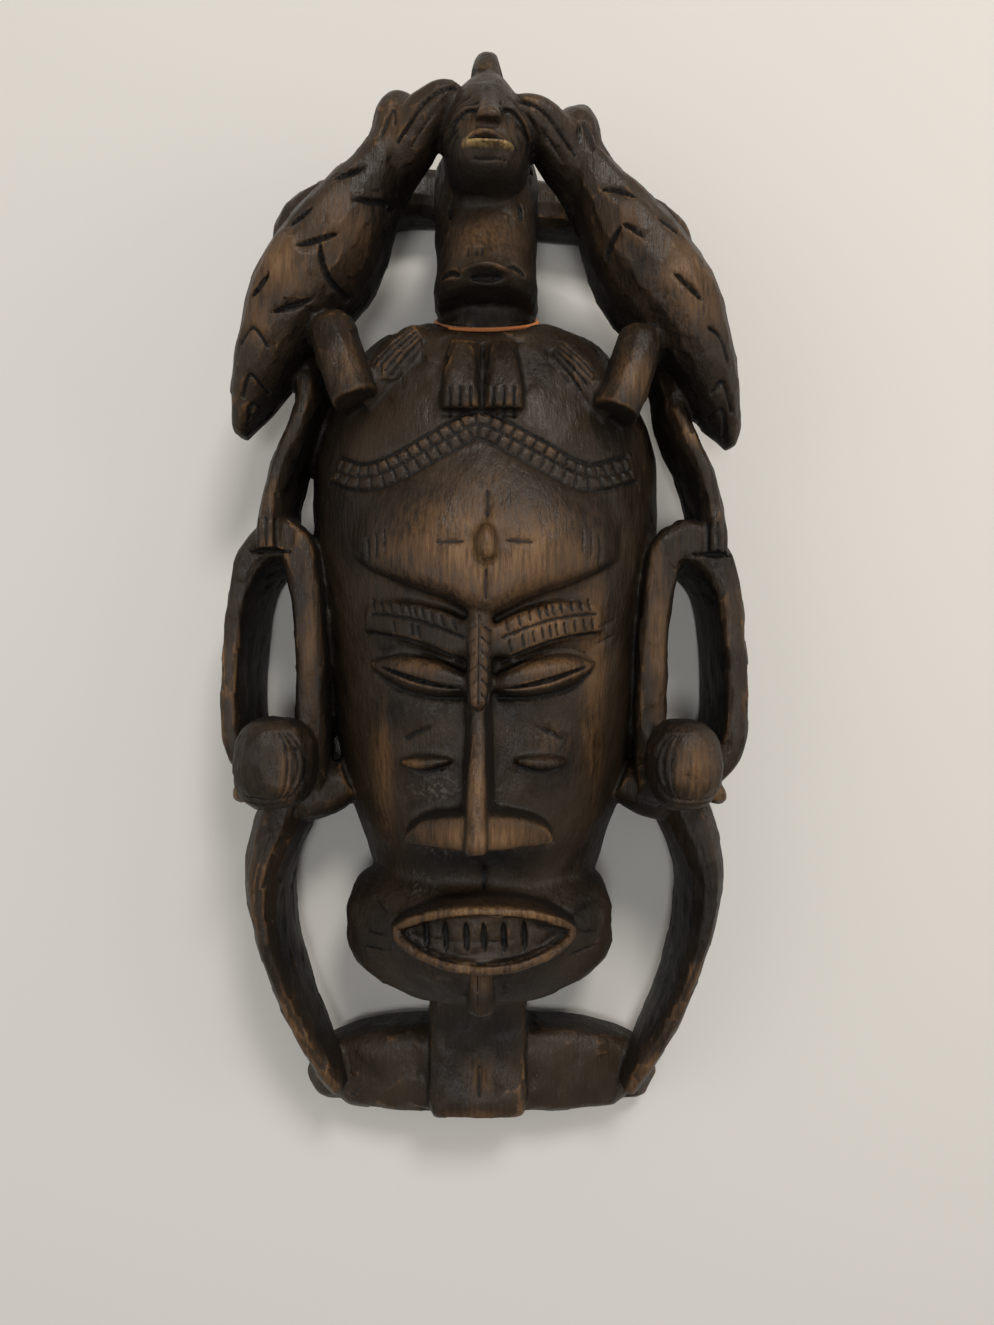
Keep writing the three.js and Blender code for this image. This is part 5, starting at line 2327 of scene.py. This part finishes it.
@dataclass(frozen=True)
class WaxedWood:
    """Dark stained and waxed wood, worn to brown on what stands out, with painted shade in its cuts,
    recesses and side walls.
    """

    # Colour of painted shade in cuts, creases and shaded places.
    shade_black: tuple[float, float, float, float] = (0.0035, 0.0027, 0.0022, 1)
    deep: tuple[float, float, float, float] = (0.013, 0.0083, 0.0052, 1)
    stain: tuple[float, float, float, float] = (0.036, 0.0225, 0.0125, 1)
    warm: tuple[float, float, float, float] = (0.088, 0.046, 0.0195, 1)
    worn: tuple[float, float, float, float] = (0.20, 0.112, 0.05, 1)
    gilt: tuple[float, float, float, float] = (0.44, 0.29, 0.115, 1)
    dust: tuple[float, float, float, float] = (0.13, 0.115, 0.095, 1)

    def material(self, groups: dict[str, bpy.types.NodeTree]) -> bpy.types.Material:
        """Makes the material.

        Args:
            groups: The shared effects by name.

        Returns:
            The material.
        """
        made = bpy.data.materials.new("dark_waxed_wood")
        made.use_nodes = True
        nodes = Nodes(made.node_tree)
        made.node_tree.nodes.clear()
        place = nodes.add("ShaderNodeTexCoord").outputs["Object"]
        near = nodes.add("ShaderNodeAttribute", attribute_name="near_relief").outputs["Fac"]
        wide = nodes.add("ShaderNodeAttribute", attribute_name="wide_relief").outputs["Fac"]
        rubbed = nodes.add("ShaderNodeAttribute", attribute_name="rubbed").outputs["Fac"]
        gilt = nodes.add("ShaderNodeAttribute", attribute_name="gilt").outputs["Fac"]
        incised = nodes.add("ShaderNodeAttribute", attribute_name="incised").outputs["Fac"]
        edges = nodes.add("ShaderNodeAttribute", attribute_name="edges").outputs["Fac"]
        painted_shade = nodes.add("ShaderNodeAttribute", attribute_name="painted_shade").outputs["Fac"]
        dusty = nodes.add("ShaderNodeAttribute", attribute_name="dusty").outputs["Fac"]
        grain = placed(nodes, groups["grain"], Place=place, Fineness=1.0)
        streaks, tone = grain.outputs["Streaks"], grain.outputs["Tone"]
        ridge = nodes.math("ADD", nodes.math("MULTIPLY", edges, 1.3), nodes.math("MULTIPLY", wide, 0.2))
        ridge = nodes.math("ADD", ridge, nodes.math("MULTIPLY", near, 0.9))
        wear = placed(nodes, groups["wear"], Ridge=ridge, Rubbed=rubbed, Streaks=streaks, Tone=tone)
        dust = placed(nodes, groups["dust"], Place=place, Hollow=wide, Patch=dusty)
        base = nodes.mix(nodes.ramp(tone, 0.32, 0.68), self.deep, self.stain)
        base = nodes.mix(nodes.math("MULTIPLY", nodes.ramp(streaks, 0.4, 0.62), 0.5), base, self.stain)
        warmed = nodes.ramp(wear.outputs["Wear"], 0.05, 0.5)
        base = nodes.mix(warmed, base, self.warm)
        base = nodes.mix(nodes.ramp(wear.outputs["Wear"], 0.42, 1.05), base, self.worn)
        gilded = nodes.math("MULTIPLY", gilt, nodes.ramp(streaks, 0.42, 0.6, 0.2, 0.9))
        base = nodes.mix(gilded, base, self.gilt)
        # Painted shade: fine creases and knife cuts go black, and their roughness rises.
        hollow = nodes.math("MAXIMUM", nodes.ramp(near, -0.03, -0.3), nodes.ramp(incised, 0.25, 1.3))
        # Painted shade: broad recesses darken towards the deep stain colour.
        painted_recess_shade = nodes.math("MULTIPLY", nodes.ramp(wide, -0.15, -1.2), 0.7)
        base = nodes.mix(painted_recess_shade, base, self.deep)
        # Painted shade: shaded undersides, recesses and side walls go black, a little less where the
        # tone is light.
        painted_shade_share = nodes.math("MULTIPLY", painted_shade, nodes.ramp(tone, 0.3, 0.6, 1.0, 0.75))
        base = nodes.mix(painted_shade_share, base, self.shade_black)
        base = nodes.mix(nodes.math("MULTIPLY", hollow, 0.9), base, self.shade_black)
        base = nodes.mix(dust.outputs["Dust"], base, self.dust)
        shader = nodes.add("ShaderNodeBsdfPrincipled")
        nodes.link(base, shader.inputs["Base Color"])
        rough = nodes.ramp(streaks, 0.35, 0.65, 0.32, 0.5)
        rough = nodes.math("ADD", rough, nodes.math("MULTIPLY", hollow, 0.2))
        rough = nodes.math("ADD", rough, nodes.math("MULTIPLY", painted_shade_share, 0.25))
        rough = nodes.math("ADD", rough, nodes.math("MULTIPLY", dust.outputs["Dust"], 0.3), clamp=True)
        nodes.link(rough, shader.inputs["Roughness"])
        shader.inputs["Specular IOR Level"].default_value = 0.25
        pits = nodes.noise(nodes.stretched(place, (1.0, 0.2, 1.0)), 900.0, 3.0, 0.6)
        tooled = nodes.noise(nodes.stretched(place, (1.0, 0.5, 1.0)), 210.0, 4.0, 0.6)
        fine = nodes.math("MULTIPLY", pits, 0.25)
        height = nodes.math("ADD", nodes.math("MULTIPLY", streaks, 0.5), fine)
        height = nodes.math("ADD", height, nodes.math("MULTIPLY", tooled, 0.8))
        bump = nodes.add("ShaderNodeBump")
        bump.inputs["Strength"].default_value = 0.75
        bump.inputs["Distance"].default_value = 0.0012
        nodes.link(height, bump.inputs["Height"])
        nodes.link(bump.outputs["Normal"], shader.inputs["Normal"])
        out = nodes.add("ShaderNodeOutputMaterial")
        nodes.link(shader.outputs["BSDF"], out.inputs["Surface"])
        return made


@dataclass(frozen=True)
class CottonThread:
    """Orange twisted cotton."""

    light: tuple[float, float, float, float] = (0.70, 0.24, 0.055, 1)
    dark: tuple[float, float, float, float] = (0.36, 0.10, 0.025, 1)

    def material(self, groups: dict[str, bpy.types.NodeTree]) -> bpy.types.Material:
        """Makes the material.

        Args:
            groups: The shared effects by name.

        Returns:
            The material.
        """
        made = bpy.data.materials.new("orange_cotton")
        made.use_nodes = True
        nodes = Nodes(made.node_tree)
        made.node_tree.nodes.clear()
        place = nodes.add("ShaderNodeTexCoord").outputs["Object"]
        grain = placed(nodes, groups["grain"], Place=place, Fineness=3.0)
        fibre = nodes.noise(place, 2600.0, 3.0, 0.6)
        slow = nodes.math("MULTIPLY", grain.outputs["Tone"], 0.4)
        blend = nodes.math("ADD", nodes.math("MULTIPLY", fibre, 0.6), slow)
        colour = nodes.mix(nodes.ramp(blend, 0.38, 0.6), self.dark, self.light)
        shader = nodes.add("ShaderNodeBsdfPrincipled")
        nodes.link(colour, shader.inputs["Base Color"])
        nodes.link(nodes.ramp(fibre, 0.3, 0.7, 0.6, 0.85), shader.inputs["Roughness"])
        shader.inputs["Sheen Weight"].default_value = 0.3
        bump = nodes.add("ShaderNodeBump")
        bump.inputs["Strength"].default_value = 0.4
        bump.inputs["Distance"].default_value = 0.0003
        nodes.link(fibre, bump.inputs["Height"])
        nodes.link(bump.outputs["Normal"], shader.inputs["Normal"])
        out = nodes.add("ShaderNodeOutputMaterial")
        nodes.link(shader.outputs["BSDF"], out.inputs["Surface"])
        return made


@dataclass(frozen=True)
class Studio:
    """The pale floor, the soft lights and the camera that looks straight down."""

    floor_colour: tuple[float, float, float, float] = (0.71, 0.685, 0.64, 1)
    camera_place: tuple[float, float, float] = (0.006, -0.023, 0.530)
    focal_pixels: float = 1000.0
    frame_height: float = 1325.0

    def build(self) -> None:
        """Makes the floor, the lights, the world and the camera."""
        self.floor()
        self.light("key", (0.42, 1.20, 1.50), 0.45, 17.0, (1.0, 0.965, 0.92))
        self.light("front", (-0.05, -0.20, 1.75), 0.3, 6.0, (0.97, 0.985, 1.0))
        self.light("fill", (-1.1, 0.1, 1.1), 1.0, 3.0, (1.0, 0.98, 0.95))
        self.light("side", (1.0, 0.1, 0.6), 0.6, 2.2, (1.0, 0.93, 0.84))
        self.world()
        self.camera()

    def floor(self) -> None:
        """Makes the plain floor that the mask lies on."""
        reach = 3.0
        corners = reach * np.array([[-1.0, -1, 0], [1, -1, 0], [1, 1, 0], [-1, 1, 0]])
        mesh = mesh_from(corners, np.array([[0, 1, 2, 3]]), "floor")
        plane = bpy.data.objects.new("floor", mesh)
        bpy.context.scene.collection.objects.link(plane)
        plane.location.z = -0.0002
        paint = bpy.data.materials.new("pale_floor")
        paint.use_nodes = True
        shader = paint.node_tree.nodes["Principled BSDF"]
        shader.inputs["Base Color"].default_value = self.floor_colour
        shader.inputs["Roughness"].default_value = 0.9
        mesh.materials.append(paint)

    def light(
        self,
        name: str,
        place: tuple[float, float, float],
        size: float,
        power: float,
        colour: tuple[float, float, float],
    ) -> None:
        """Adds a square soft light that shines on the middle of the mask.

        Args:
            name: The light's name.
            place: Where it stands, in metres.
            size: Its side, in metres.
            power: Its power, in watts.
            colour: Its colour.
        """
        lamp = bpy.data.lights.new(name, "AREA")
        lamp.size = size
        lamp.energy = power
        lamp.color = colour
        holder = bpy.data.objects.new(name, lamp)
        holder.location = place
        holder.rotation_euler = (-holder.location).to_track_quat("-Z", "Y").to_euler()
        bpy.context.scene.collection.objects.link(holder)

    def world(self) -> None:
        """Sets the plain soft surroundings."""
        world = bpy.data.worlds.new("room")
        world.use_nodes = True
        world.node_tree.nodes["Background"].inputs["Color"].default_value = (1.0, 0.975, 0.94, 1)
        world.node_tree.nodes["Background"].inputs["Strength"].default_value = 0.32
        bpy.context.scene.world = world

    def camera(self) -> None:
        """Sets the camera over the mask, with the top of the mask at the top of the picture."""
        lens = bpy.data.cameras.new("camera")
        lens.sensor_fit = "VERTICAL"
        lens.sensor_height = 36.0
        lens.lens = self.focal_pixels / self.frame_height * lens.sensor_height
        lens.clip_start = 0.01
        holder = bpy.data.objects.new("camera", lens)
        holder.location = self.camera_place
        bpy.context.scene.collection.objects.link(holder)
        bpy.context.scene.camera = holder


def main() -> None:
    """Builds the mask, the thread and the studio in order."""
    logging.basicConfig(level=logging.INFO, format="%(name)s: %(message)s")
    bpy.context.scene.view_settings.view_transform = "Standard"
    Studio().build()
    groups = {"grain": grain_group(), "wear": wear_group(), "dust": dust_group()}

    carving = CarvedMask().build()
    carving.data.materials.clear()
    carving.data.materials.append(WaxedWood().material(groups))
    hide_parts("carved_mask")
    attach(carving, "root")

    thread = NeckThread().build()
    thread.data.materials.append(CottonThread().material(groups))
    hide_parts("neck_thread")
    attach(thread, "root")
    LOG.info("thread: %d faces", len(thread.data.polygons))


if __name__ == "__main__":
    main()
